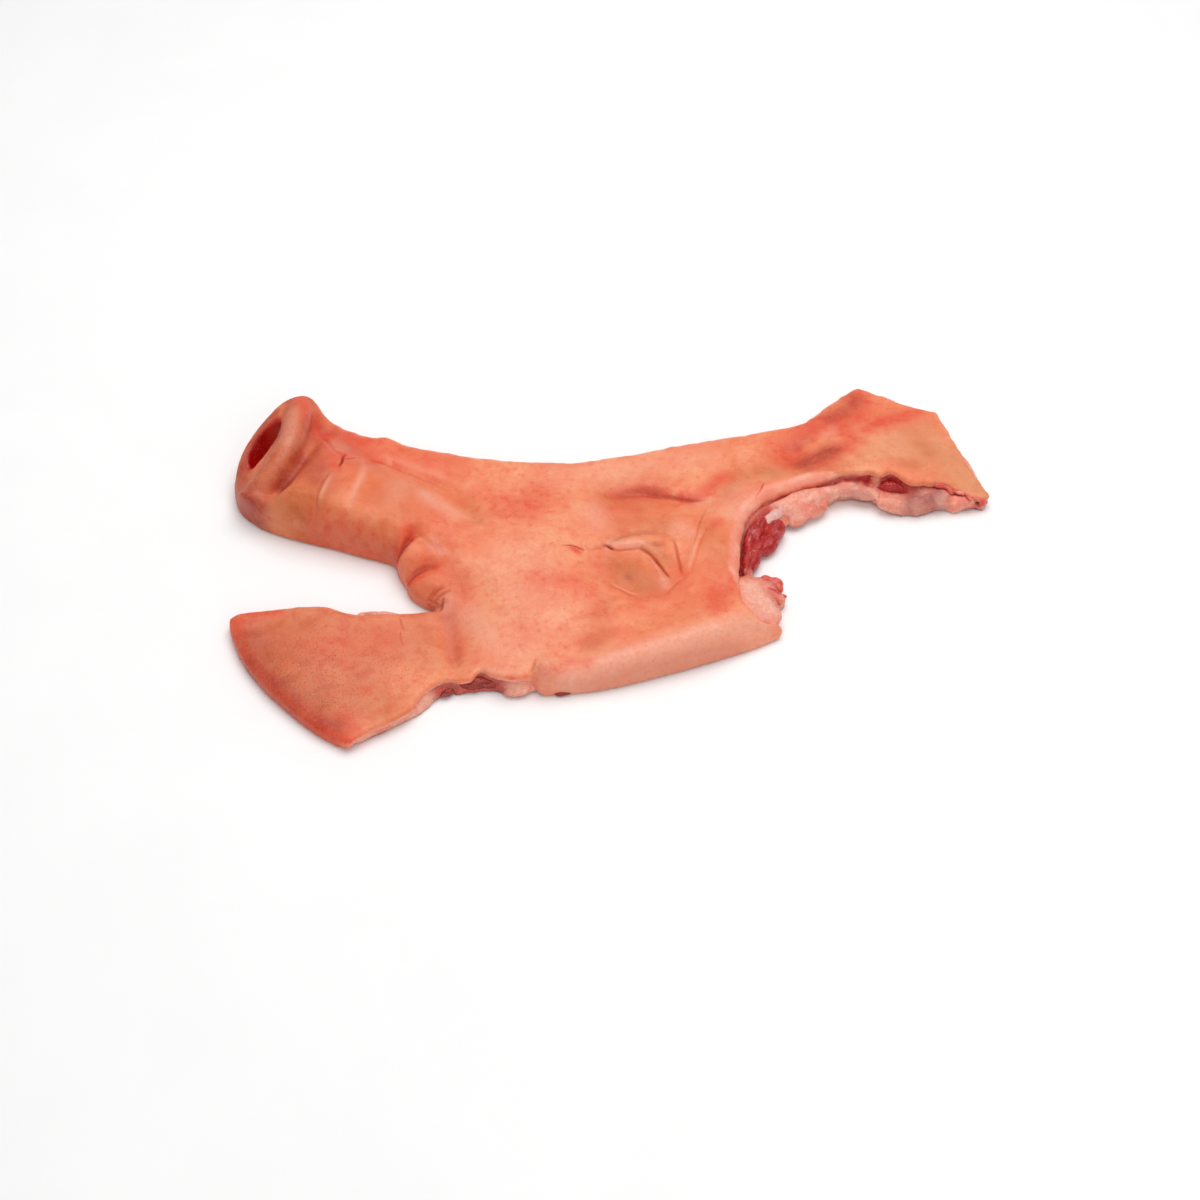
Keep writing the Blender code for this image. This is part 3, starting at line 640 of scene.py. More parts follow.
def positions(obj):
    flat = np.empty(len(obj.data.vertices) * 3, np.float32)
    obj.data.vertices.foreach_get("co", flat)
    return flat.reshape(-1, 3).astype(float)


def place(obj, points):
    obj.data.vertices.foreach_set("co", points.astype(np.float32).ravel())
    obj.data.update()


def normals(obj):
    flat = np.empty(len(obj.data.vertices) * 3, np.float32)
    obj.data.vertex_normals.foreach_get("vector", flat)
    return flat.reshape(-1, 3).astype(float)


def blank(name, path):
    """A flat blank: a filled circle whose points are laid along the outline, then drawn up."""
    bpy.ops.object.select_all(action="DESELECT")
    bpy.ops.mesh.primitive_circle_add(vertices=len(path), radius=1.0, fill_type="NGON")
    obj = bpy.context.object
    obj.name = name
    place(obj, np.column_stack([path[:, :2], np.zeros(len(path))]))
    bpy.ops.object.mode_set(mode="EDIT")
    bpy.ops.mesh.select_all(action="SELECT")
    bpy.ops.mesh.extrude_region_move(TRANSFORM_OT_translate={"value": (0, 0, BLANK_HEIGHT)})
    bpy.ops.mesh.select_all(action="SELECT")
    bpy.ops.mesh.normals_make_consistent(inside=False)
    bpy.ops.object.mode_set(mode="OBJECT")
    return obj


def roll_along(name, points, radius):
    """A round roll that follows points."""
    bpy.ops.object.select_all(action="DESELECT")
    bpy.ops.curve.primitive_nurbs_path_add()
    obj = bpy.context.object
    obj.name = name
    curve = obj.data
    curve.splines.clear()
    path = smooth_path(points, 2.5)
    spline = curve.splines.new("POLY")
    spline.points.add(len(path) - 1)
    for point, (x, y, z) in zip(spline.points, path):
        point.co = (x, y, z, 1)
    curve.bevel_depth = radius
    curve.bevel_resolution = 5
    curve.use_fill_caps = True
    bpy.ops.object.convert(target="MESH")
    return weld(bpy.context.object)


def weld(obj):
    """Merges doubled points and turns the faces outwards."""
    pick(obj)
    bpy.ops.object.mode_set(mode="EDIT")
    bpy.ops.mesh.select_all(action="SELECT")
    bpy.ops.mesh.remove_doubles(threshold=0.01)
    bpy.ops.mesh.normals_make_consistent(inside=False)
    bpy.ops.object.mode_set(mode="OBJECT")
    return obj


def egg(name, centre, radii, turn):
    """An egg of three half widths, turned by a matrix."""
    bpy.ops.object.select_all(action="DESELECT")
    bpy.ops.mesh.primitive_uv_sphere_add(segments=32, ring_count=16, radius=1.0)
    obj = bpy.context.object
    obj.name = name
    obj.matrix_world = Matrix.Translation(centre) @ turn.to_4x4() @ Matrix.Diagonal((*radii, 1))
    bpy.ops.object.transform_apply(location=True, rotation=True, scale=True)
    return obj


def join(*objects):
    pick(*objects)
    bpy.ops.object.join()
    return bpy.context.object


def fuse(obj, grain):
    """Fuses what overlaps into one skin of even quads."""
    remesh = obj.modifiers.new("fuse", "REMESH")
    remesh.mode = "VOXEL"
    remesh.voxel_size = grain
    apply(obj, remesh)


def soften(obj, rounds, near=None):
    """Smooths the whole piece, or only the points that near marks."""
    smooth = obj.modifiers.new("soften", "SMOOTH")
    smooth.factor = 0.5
    smooth.iterations = rounds
    if near is not None:
        group = obj.vertex_groups.new(name="near")
        group.add([int(i) for i in np.flatnonzero(near)], 1.0, "REPLACE")
        smooth.vertex_group = group.name
    apply(obj, smooth)
    obj.vertex_groups.clear()


def face_centres(obj):
    flat = np.empty(len(obj.data.polygons) * 3, np.float32)
    obj.data.polygons.foreach_get("center", flat)
    return flat.reshape(-1, 3).astype(float)


def refine(obj, near):
    """Divides the faces that near marks."""
    pick(obj)
    bpy.context.tool_settings.mesh_select_mode = (False, False, True)
    bpy.ops.object.mode_set(mode="EDIT")
    bpy.ops.mesh.select_all(action="DESELECT")
    bpy.ops.object.mode_set(mode="OBJECT")
    obj.data.polygons.foreach_set("select", near)
    bpy.ops.object.mode_set(mode="EDIT")
    bpy.ops.mesh.subdivide(number_cuts=1)
    bpy.ops.object.mode_set(mode="OBJECT")


def cut(obj, cutter):
    boolean = obj.modifiers.new("cut", "BOOLEAN")
    boolean.operation = "DIFFERENCE"
    boolean.object = cutter
    apply(obj, boolean)
    bpy.data.objects.remove(cutter)


def thin(obj, plain, share):
    """Fewer faces at the points that plain marks, until that share of all the faces is left."""
    group = obj.vertex_groups.new(name="plain")
    for weight in (0.0, 1.0):
        group.add([int(i) for i in np.flatnonzero(plain == weight)], weight, "REPLACE")
    decimate = obj.modifiers.new("thin", "DECIMATE")
    decimate.ratio = share
    decimate.vertex_group = group.name
    apply(obj, decimate)
    obj.vertex_groups.clear()


def store(obj, name, values):
    """Keeps one number for each point, for the material to read."""
    attribute = obj.data.attributes.new(name, "FLOAT", "POINT")
    attribute.data.foreach_set("value", np.clip(values, -1, 1).astype(np.float32))


def finish_piece(obj, material):
    obj.data.transform(Matrix.Scale(MM, 4) @ Matrix.Translation(-BOARD_MIDDLE))
    obj.data.materials.clear()
    obj.data.materials.append(material)
    pick(obj)
    bpy.ops.object.shade_smooth()
    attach(obj, "root")
    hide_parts(MASK)


# Lobes of fat and torn flesh: centre, half length, half width, half height, turn in degrees.
FAT_LOBES = [  # swellings of the fat body along the cuts
    (96, 41.0, 8.0, 8.0, 4.6, 4.4, 38),
    (105, 47.5, 8.2, 8.5, 4.4, 4.4, 34),
    (115, 52.0, 8.4, 9.0, 4.0, 4.4, 22),
    (125, 55.0, 8.2, 8.5, 3.6, 4.4, 6),
    (98, 35.5, 4.5, 6.0, 3.0, 3.6, 30),
    (108, 42.5, 5.0, 8.0, 3.6, 3.6, 34),
    (134, 53.5, 7.6, 8.0, 4.2, 4.2, -16),
    (148, 46.0, 6.0, 8.0, 3.4, 4.4, -8),
    (161, 46.0, 7.0, 7.0, 3.8, 4.4, 4),
    (173, 49.0, 8.0, 8.0, 4.2, 4.4, 6),
    (185, 49.0, 5.5, 8.0, 3.4, 3.6, -6),
    (75, -25, 8.5, 9.0, 6.0, 3.4, -70),
    (80, -33, 6.5, 8.0, 5.0, 3.0, -75),
    (-47, -81.5, 3.4, 7.0, 2.4, 2.6, 6),
]
EAR_MUSCLE = [
    (85.5, 26.0, 5.4, 8.5, 4.8, 5.4, 66),
    (82.0, 17.5, 3.8, 8.0, 4.0, 4.2, 55),
    (77.5, 26.0, 6.6, 11.0, 3.2, 4.4, 62),
    (72.5, 22.0, 6.8, 12.0, 2.8, 4.4, 70),
    (70.5, 11.0, 6.2, 12.0, 2.6, 4.2, 80),
    (76.5, 14.0, 4.6, 10.0, 3.0, 4.2, 64),
    (69.0, 1.0, 5.4, 9.0, 2.4, 4.0, 88),
    (73.5, 5.5, 3.6, 8.0, 2.8, 3.6, 66),
]
EAR_SINEW = [
    (86.0, 35.5, 8.8, 5.5, 3.6, 2.0, 50),
    (82.0, 32.0, 8.6, 4.0, 2.6, 1.9, 76),
    (90.5, 40.0, 9.2, 4.5, 2.2, 1.6, 34),
]
NECK_MUSCLE = [
    (149, 58.0, 6.4, 9.0, 4.0, 4.8, 0),
    (158, 55.0, 6.4, 6.5, 3.0, 4.2, -10),
    (143, 58.5, 6.0, 5.0, 3.0, 3.6, 10),
]
NECK_SHREDS = [
    (174, 54.5, 11.6, 4.0, 1.4, 1.5, -14),
    (179, 52.0, 10.6, 3.0, 1.3, 1.6, -58),
    (184, 51.0, 10.2, 3.6, 1.6, 1.4, -24),
    (189, 48.5, 8.8, 2.4, 1.2, 1.4, -62),
    (193.5, 49.0, 7.2, 3.0, 1.3, 1.3, -16),
    (197.5, 49.0, 4.6, 2.8, 1.4, 1.8, 22),
]
JOWL_MUSCLE = [
    (82.5, -13.5, 7.6, 4.6, 3.2, 3.8, 0),
    (78.0, -12.0, 8.4, 3.6, 2.8, 3.4, 24),
    (84.5, -16.0, 6.8, 2.8, 2.4, 3.2, -30),
]
JOWL_STRANDS = [
    (80.0, -19.5, 8.6, 5.5, 1.7, 2.6, -16),
    (85.5, -20.8, 6.4, 3.4, 1.2, 1.8, -8),
    (80.5, -23.5, 8.2, 4.8, 1.5, 2.4, -34),
    (83.0, -25.0, 6.6, 3.0, 1.2, 2.2, -48),
]
JAW_MUSCLE = [
    (-68, -77.0, 4.4, 8.0, 3.4, 3.4, 6),
    (-60, -77.0, 3.8, 5.5, 2.6, 2.8, -8),
    (-80, -82.0, 3.0, 4.0, 1.6, 2.6, 28),
    (-24, -81.2, 1.6, 5.0, 1.5, 1.5, 8),
]
GUM = [
    (-118, -33, 6.0, 8.0, 1.8, 1.9, -3),
    (-110, -33.6, 5.6, 5.0, 1.5, 1.6, -10),
    (-125, -32.8, 5.4, 3.5, 1.6, 1.6, 14),
]
FLESH_STAINS = {
    "muscle": [
        ([(66, -6), (69, 8), (73, 22), (82, 36)], 5.5, 1.0),
        ([(145, 58), (160, 55)], 4, 1.0),
        ([(174, 56), (186, 52), (196, 49)], 3, 0.6),
        # painted shade: dark lean colour in the gap under the skin's edge along the ear cut and the neck flap
        ([(78, 41), (90, 48.5), (100, 53.5), (115, 57), (131, 60), (150, 60)], 1.1, 1.0),
        ([(150, 60), (158, 54), (169, 54), (180, 55), (190, 50), (200, 51)], 1.3, 1.0),
        ([(78, -11), (86, -18)], 4, 0.6),
        ([(80, -22), (84, -28)], 3, 0.35),
        ([(-84, -82), (-70, -81), (-56, -80)], 5, 0.8),
        ([(-30, -83), (-20, -83)], 4, 0.8),
        ([(-78, -82), (-84, -88)], 2.5, 0.6),
        ([(-108, -112), (-100, -107), (-93, -98)], 1.6, 0.4),
        ([(106, 40), (112, 43)], 2.0, 0.3),
    ],
    "blue": [
        ([(158, 46), (168, 47), (173, 50)], 4.5, 0.9),
        ([(128, 50), (134, 52)], 4, 0.4),
        ([(118, 56), (128, 57)], 4, 0.3),
    ],
    "pale": [
        ([(120, 52), (136, 50)], 5, 0.5),
        ([(150, 44), (160, 44)], 4, 0.4),
        ([(92, 42), (98, 46)], 3, 0.6),
        ([(70, -24), (76, -34)], 7, 0.8),
        ([(-50, -83), (-38, -84)], 6, 0.5),
        ([(-96, -96), (-86, -86)], 3, 0.8),
    ],
}


def make_skin(material):
    """The skin, a sheet that is solid only in the snout."""
    path = frayed(ring(SKIN_OUTLINE), 3.0)
    skin = blank("skin", path)
    fuse(skin, SKIN_GRAIN)
    p = positions(skin)
    top, snout = skin_top(p[:, :2], path)
    distance, index = nearest(path, p[:, :2])
    tucked = (1 - path[index, 5]) * (1 - smoothstep(*TUCK, distance))
    bottom = np.maximum(0, top - SKIN_THICKNESS - SNOUT_SOLID * snout) * (1 - tucked)
    p[:, 2] = bottom + p[:, 2] / BLANK_HEIGHT * (top - bottom)
    place(skin, p)
    skin = join(skin, roll_along("snout_rim", SNOUT_RIM, RIM_RADIUS))
    fuse(skin, SKIN_GRAIN)
    soften(skin, 3)
    soften(skin, 14, near=skin_top(positions(skin)[:, :2], path)[1] > SNOUT_SHARE[1])
    for centre, radii, slit, inward in NOSTRIL:
        cut(skin, egg("nostril", centre, radii, nostril_turn(slit, inward)))
    fuse(skin, SKIN_GRAIN)
    soften(skin, 2)
    soften(skin, 8, near=nostril_share(positions(skin), 1.5)[0] > 0)
    p = positions(skin)
    distance, index = nearest(path, p)
    uncut_edge = (distance < 5) & (path[index, 5] < 0.5)
    soften(skin, 6, near=uncut_edge & (skin_top(p[:, :2], path)[1] < SNOUT_SHARE[0]))
    distance, _ = nearest(path, positions(skin))
    hidden = (normals(skin)[:, 2] < -0.5) & (distance > 3)
    thin(skin, hidden, 1 - (1 - HIDDEN_SHARE) * hidden.mean())
    work_skin(skin, path)
    triangles = sum(len(face.vertices) - 2 for face in skin.data.polygons)
    thin(skin, ~by_creases(positions(skin)[:, :2], CREASE_MARGIN), SKIN_TRIANGLES / triangles)
    colour_skin(skin, path)
    finish_piece(skin, material)


def nostril_turn(slit, inward):
    """The matrix that turns X to the slit's length and Y into the snout."""
    length = Vector(slit).normalized()
    depth = (Vector(inward) - Vector(inward).dot(length) * length).normalized()
    return Matrix((length, depth, length.cross(depth))).transposed()


def nostril_share(points, fade):
    """How far each place belongs to the nostril's dish and hole: 1 on the wall, 0 at fade times its size."""
    shares = []
    for centre, radii, slit, inward in NOSTRIL:
        local = (points - np.array(centre)) @ np.array(nostril_turn(slit, inward)) / np.array(radii)
        shares.append(1 - smoothstep(1.0, fade, np.linalg.norm(local, axis=1)))
    return shares


def work_skin(skin, path):
    """Presses the fine folds into the skin, where its mesh is made finer first, and roughens it slightly."""
    for widest, spare in FINER_BANDS:
        refine(skin, by_creases(face_centres(skin)[:, :2], spare, widest))
    p = positions(skin)
    p[:, 2] -= p[:, 2].min()
    p[:, 2] = np.maximum(p[:, 2] - PRESSED_FLAT, 0)
    out = normals(skin)
    upward = smoothstep(0.1, 0.6, out[:, 2])
    lift = sum(height * stroke(points, width, p[:, :2], taper=True) for points, width, height, _ in CREASES)
    p += out * ((lift + lumps(p, SKIN_LUMPS)) * upward)[:, None]
    wall = path[nearest(path, p)[1], 5] * (1 - upward) * smoothstep(-0.5, 0.2, out[:, 2])
    p += out * (wall * lumps(p, WALL_LUMPS))[:, None]
    p[:, 2] = np.maximum(p[:, 2], 0)
    place(skin, p)


def colour_skin(skin, path):
    """Keeps where the skin is stained, where shade and light are painted on it, where its creases get painted
    shade, and where it is cut or hollow.
    """
    p = positions(skin)
    xy = p[:, :2]
    out = normals(skin)
    for kind, strokes in STAINS.items():
        store(skin, kind, strongest(strokes, xy))
    # painted shade: the bottom of each crease is darkened by its amount; a negative amount paints the line
    # paler
    creases = [depth * stroke(points, width * 0.9, xy, taper=True) for points, width, _, depth in CREASES]
    store(skin, "crease", sum(creases))
    store(skin, "stubble", strongest(STUBBLE, xy))
    for name, share in zip(("dish", "hollow"), nostril_share(p, 1.25)):
        store(skin, name, share)
    distance, index = nearest(path, xy)
    top, snout = skin_top(xy, path)
    edge = path[index, 5] * (1 - smoothstep(3.0, 5.0, distance)) * smoothstep(1.4, 2.4, top - p[:, 2])
    uneven = distance + lumps(p, BEVEL_LUMPS)
    width = path[index, 6]
    bevel = 0.8 * (1 - smoothstep(0.7, 1.2, uneven / np.maximum(width, 0.5))) * (width > 0.5)
    below = (1 - smoothstep(-0.8, -0.5, out[:, 2])) * smoothstep(3.0, 7.0, distance) * (1 - snout)
    store(skin, "cut", np.maximum(np.maximum(edge, bevel), below))


def make_flesh(material):
    """The fat body under the skin, with the torn flesh that sticks out along the cuts."""
    skin_path = ring(SKIN_OUTLINE)
    path = frayed(ring(FLESH_OUTLINE), 11.0)
    flesh = join(blank("flesh", path), blank("under_skin", inset(skin_path)))
    fuse(flesh, FLESH_GRAIN)
    p = positions(flesh)
    top, _ = flesh_top(p[:, :2], path, skin_path)
    p[:, 2] *= top / BLANK_HEIGHT
    place(flesh, p)
    flesh = join(flesh, *[lobe(*part) for part in FAT_LOBES])
    fuse(flesh, FLESH_GRAIN)
    soften(flesh, 2)
    rest_on_board(flesh)
    p = positions(flesh)
    out = normals(flesh)
    _, open_share = flesh_top(p[:, :2], path, skin_path)
    p += out * (lumps(p, FLESH_LUMPS) * open_share * smoothstep(-0.4, 0.2, out[:, 2]))[:, None]
    under = 1 - smoothstep(-0.9, -0.5, out[:, 2])
    p[:, 2] += under * (UNDERSIDE_RISE + lumps(p, UNDERSIDE_LUMPS))
    place(flesh, p)
    rest_on_board(flesh)
    hidden = (out[:, 2] > 0.5) & (open_share < 0.02)
    thin(flesh, hidden, 1 - (1 - HIDDEN_SHARE) * hidden.mean())
    colour_flesh(flesh)
    finish_piece(flesh, material)


def flesh_top(xy, path, skin_path):
    """Height of the fat body at each place, and how far it lies open there."""
    skin, snout = skin_top(xy, skin_path)
    under = np.maximum(skin - SKIN_THICKNESS + 0.6, 0.9) * (1 - snout) + 0.9 * snout
    shelf, cover = from_spots(SHELF_HEIGHTS, SHELF_REACH, xy)
    bare = cover * np.where(inside(skin_path, xy), 0, 1)
    gap = np.max([stroke(points, width, xy) for points, width in GAPS], axis=0)
    shelf *= edge_share(path, xy) * (1 - GAP_DEPTH * gap)
    return under + (shelf - under) * bare, bare


def lobe(x, y, z, length, width, height, turn):
    """One long lump of fat or muscle, lying flat."""
    return egg("lobe", (x, y, z), (length, width, height), Matrix.Rotation(math.radians(turn), 3, "Z"))


def rest_on_board(obj):
    """Flattens what would reach into the board."""
    p = positions(obj)
    p[:, 2] = np.maximum(p[:, 2], BOARD_CLEARANCE)
    place(obj, p)


def colour_flesh(flesh):
    """Keeps where the fat body is lean, pale or bluish, and where painted shade darkens the gaps under the
    skin's edge. Its underside is lean in patches.
    """
    p = positions(flesh)
    under = 1 - smoothstep(-0.7, -0.2, normals(flesh)[:, 2])
    lean = smoothstep(-0.1, 0.35, lumps(p, LEAN_PATCHES)) * under
    for kind, strokes in FLESH_STAINS.items():
        total = strongest(strokes, p[:, :2])
        store(flesh, kind, np.maximum(total, 0.9 * lean) if kind == "muscle" else total)


def make_lobes(name, parts, grain, fibre, material):
    """A piece of fused lobes, grooved along their length by fibres of the given size."""
    piece = join(*[lobe(*part) for part in parts])
    piece.name = name
    fuse(piece, grain)
    soften(piece, 8)
    p = positions(piece)
    out = normals(piece)
    turn = math.radians(parts[0][-1])
    along_it = p[:, 0] * math.cos(turn) + p[:, 1] * math.sin(turn)
    across = p[:, 1] * math.cos(turn) - p[:, 0] * math.sin(turn)
    grooves = noise_at(np.stack([along_it / GROOVE_LENGTH, across, p[:, 2]], 1), fibre, 1)
    p += out * (grooves * fibre * GROOVE_DEPTH + lumps(p, LOBE_LUMPS))[:, None]
    place(piece, p)
    rest_on_board(piece)
    finish_piece(piece, material)


# Materials
PALE_SKIN = (0.90, 0.35, 0.180)
WARM_SKIN = (0.85, 0.225, 0.100)
ORANGE_SKIN = (0.78, 0.150, 0.052)
TAN_SKIN = (0.54, 0.115, 0.020)
# dull sallow tone, also used as painted shade on the neck flap's far end
SALLOW_AND_SHADED_SKIN = (0.68, 0.275, 0.125)
RED_SKIN = (0.74, 0.056, 0.020)
# dark red, used for dark patches and for painted shade
DARK_AND_SHADED_SKIN = (0.34, 0.016, 0.006)
# dusky red, used for the skin's dusky tone and for painted shade
DUSKY_AND_SHADED_SKIN = (0.46, 0.072, 0.036)
# pale skin, also used as painted light on the jowl's band and a painted highlight on the snout's rim
BLANCHED_AND_LIT_SKIN = (0.88, 0.43, 0.31)
# dark red painted shade at the bottom of the creases
CREASE_SHADE_COLOUR = (0.36, 0.030, 0.026)
PORE_COLOUR = (0.28, 0.05, 0.026)
DISH_COLOUR = (0.50, 0.030, 0.016)
# deep red of the nostril's hole, darker than the dish as painted shade
HOLLOW_RED_AND_SHADE = (0.34, 0.002, 0.001)
FAT_COLOUR = (0.90, 0.29, 0.20)
PALE_FAT = (0.92, 0.45, 0.33)
LEAN_COLOUR = (0.32, 0.008, 0.009)
BRIGHT_LEAN = (0.56, 0.035, 0.030)
BLUE_FAT = (0.42, 0.15, 0.13)
STAIN_COLOURS = {  # in the order in which they lie over each other
    "orange": ORANGE_SKIN,
    "dusky_and_shade": DUSKY_AND_SHADED_SKIN,
    "sallow_and_shade": SALLOW_AND_SHADED_SKIN,
    "tan": TAN_SKIN,
    "pale": BLANCHED_AND_LIT_SKIN,
    "red": RED_SKIN,
    "dark": DARK_AND_SHADED_SKIN,
}
LEAN_LOOKS = {  # dark and bright colour, direction of the fibres in degrees, share of fat between them
    "ear_lean": (LEAN_COLOUR, BRIGHT_LEAN, 68, 0.3),
    "jaw_lean": ((0.20, 0.012, 0.009), (0.42, 0.042, 0.026), 5, 0.1),
    "jowl_lean": ((0.66, 0.06, 0.05), (0.80, 0.20, 0.15), -15, 0.5),
    "sinew": ((0.70, 0.32, 0.27), (0.80, 0.50, 0.45), 50, 0.3),
    "gum": ((0.80, 0.24, 0.17), (0.86, 0.40, 0.31), 0, 0.3),
}
TORN_PIECES = [  # name, lobes, mesh size, size of the fibres, look
    ("ear_muscle", EAR_MUSCLE, 0.7, 1.6, "ear_lean"),
    ("ear_sinew", EAR_SINEW, 0.5, 1.0, "sinew"),
    ("neck_muscle", NECK_MUSCLE, 0.8, 1.6, "ear_lean"),
    ("neck_shreds", NECK_SHREDS, 0.45, 1.0, "jowl_lean"),
    ("jowl_muscle", JOWL_MUSCLE, 0.6, 1.4, "jowl_lean"),
    ("jowl_strands", JOWL_STRANDS, 0.5, 1.0, "jowl_lean"),
    ("jaw_muscle", JAW_MUSCLE, 0.7, 1.4, "jaw_lean"),
    ("gum", GUM, 0.5, 1.4, "gum"),
]
FLOOR_SHADES = ((0.95, 0.95, 0.948), (0.965, 0.965, 0.963))


def grid_scale(size_mm):
    """Texture scale whose lumps measure size_mm."""
    return 1 / (size_mm * MM)


def new_group(name, *numbers):
    """A node group that takes a vector and the named numbers, with its inputs and the amount it gives."""
    group = bpy.data.node_groups.new(name, "ShaderNodeTree")
    group.interface.new_socket("Vector", in_out="INPUT", socket_type="NodeSocketVector")
    for number in numbers:
        group.interface.new_socket(number, in_out="INPUT", socket_type="NodeSocketFloat")
    group.interface.new_socket("Amount", in_out="OUTPUT", socket_type="NodeSocketFloat")
    given = group.nodes.new("NodeGroupInput").outputs
    return group, given, group.nodes.new("NodeGroupOutput").inputs["Amount"]


def add(tree, kind, settings=(), **inputs):
    """A node with its settings, and its inputs set to values or linked to sockets."""
    node = tree.nodes.new(kind)
    for name, value in dict(settings).items():
        setattr(node, name, value)
    for name, value in inputs.items():
        feed(tree, node.inputs[name.replace("_", " ")], value)
    return node


def feed(tree, socket, value):
    if isinstance(value, bpy.types.NodeSocket):
        tree.links.new(value, socket)
    elif socket.type == "RGBA" and len(value) == 3:
        socket.default_value = (*value, 1)
    else:
        socket.default_value = value


def calculate(tree, operation, a, b):
    """Two numbers put together, kept between 0 and 1."""
    node = tree.nodes.new("ShaderNodeMath")
    node.operation = operation
    node.use_clamp = True
    feed(tree, node.inputs[0], a)
    feed(tree, node.inputs[1], b)
    return node.outputs[0]


def times(tree, a, b):
    """The product, kept between 0 and 1."""
    return calculate(tree, "MULTIPLY", a, b)


def blend(tree, amount, a, b):
    """Colour a turned into colour b by an amount."""
    node = tree.nodes.new("ShaderNodeMix")
    node.data_type = "RGBA"
    feed(tree, node.inputs["Factor"], amount)
    feed(tree, node.inputs[6], a)
    feed(tree, node.inputs[7], b)
    return node.outputs[2]


def stretch(tree, value, low, high, soft=False):
    """The part of a value from low to high, drawn out to 0 to 1."""
    settings = {"interpolation_type": "SMOOTHSTEP"} if soft else {}
    span = add(tree, "ShaderNodeMapRange", settings, Value=value, From_Min=low, From_Max=high)
    return span.outputs["Result"]


def mottling_group():
    """Cloudy patches: where they are, from 0 to 1."""
    group, given, amount = new_group("mottling", "Scale", "Low", "High")
    where, scale = given["Vector"], given["Scale"]
    cloud = add(group, "ShaderNodeTexNoise", Vector=where, Scale=scale, Detail=4.0, Roughness=0.6)
    group.links.new(stretch(group, cloud.outputs["Fac"], given["Low"], given["High"], soft=True), amount)
    return group


def pores_group():
    """Scattered round dots: pores or stubble. Share says how many of the cells have one."""
    group, given, amount = new_group("pores", "Scale", "Size", "Share")
    cells = add(group, "ShaderNodeTexVoronoi", Vector=given["Vector"], Scale=given["Scale"])
    edge = times(group, given["Size"], 0.4)
    dot = stretch(group, cells.outputs["Distance"], given["Size"], edge, soft=True)
    parts = add(group, "ShaderNodeSeparateColor", Color=cells.outputs["Color"])
    chosen = calculate(group, "LESS_THAN", parts.outputs[0], given["Share"])
    group.links.new(times(group, dot, chosen), amount)
    return group


def fibre_group():
    """Fine fibres along X of the given vector, from 0 between them to 1 on them."""
    group, given, amount = new_group("fibres", "Scale")
    drawn = add(group, "ShaderNodeMapping", Vector=given["Vector"], Scale=(0.14, 1, 1)).outputs["Vector"]
    strands = add(group, "ShaderNodeTexNoise", Vector=drawn, Scale=given["Scale"], Detail=3.0)
    group.links.new(stretch(group, strands.outputs["Fac"], 0.35, 0.65), amount)
    return group


MOTTLING = mottling_group()
PORES = pores_group()
FIBRES = fibre_group()


def use(tree, group, vector, **values):
    """Places a node group and gives its amount."""
    node = tree.nodes.new("ShaderNodeGroup")
    node.node_tree = group
    tree.links.new(vector, node.inputs["Vector"])
    for name, value in values.items():
        feed(tree, node.inputs[name], value)
    return node.outputs["Amount"]


def mark(tree, name):
    """A number kept at the piece's points."""
    return add(tree, "ShaderNodeAttribute", {"attribute_name": name}).outputs["Fac"]


def start_material(name, roughness, scatter, radius_mm):
    """A new material, its node tree, its shader and the object coordinates."""
    material = bpy.data.materials.new(name)
    material.use_nodes = True
    tree = material.node_tree
    shader = tree.nodes["Principled BSDF"]
    shader.inputs["Roughness"].default_value = roughness
    shader.inputs["IOR"].default_value = 1.4
    shader.inputs["Subsurface Weight"].default_value = scatter
    shader.inputs["Subsurface Radius"].default_value = (1.0, 0.35, 0.2)
    shader.inputs["Subsurface Scale"].default_value = radius_mm * MM
    where = tree.nodes.new("ShaderNodeTexCoord").outputs["Object"]
    return material, tree, shader, where


def raise_by(tree, shader, *layers):
    """Bump from (amount, height in millimetres) layers, one on the other."""
    normal = None
    for amount, height in layers:
        bump = add(tree, "ShaderNodeBump", Height=amount, Distance=abs(height) * MM, Strength=1.0)
        bump.invert = height < 0
        if normal is not None:
            tree.links.new(normal, bump.inputs["Normal"])
        normal = bump.outputs["Normal"]
    tree.links.new(normal, shader.inputs["Normal"])


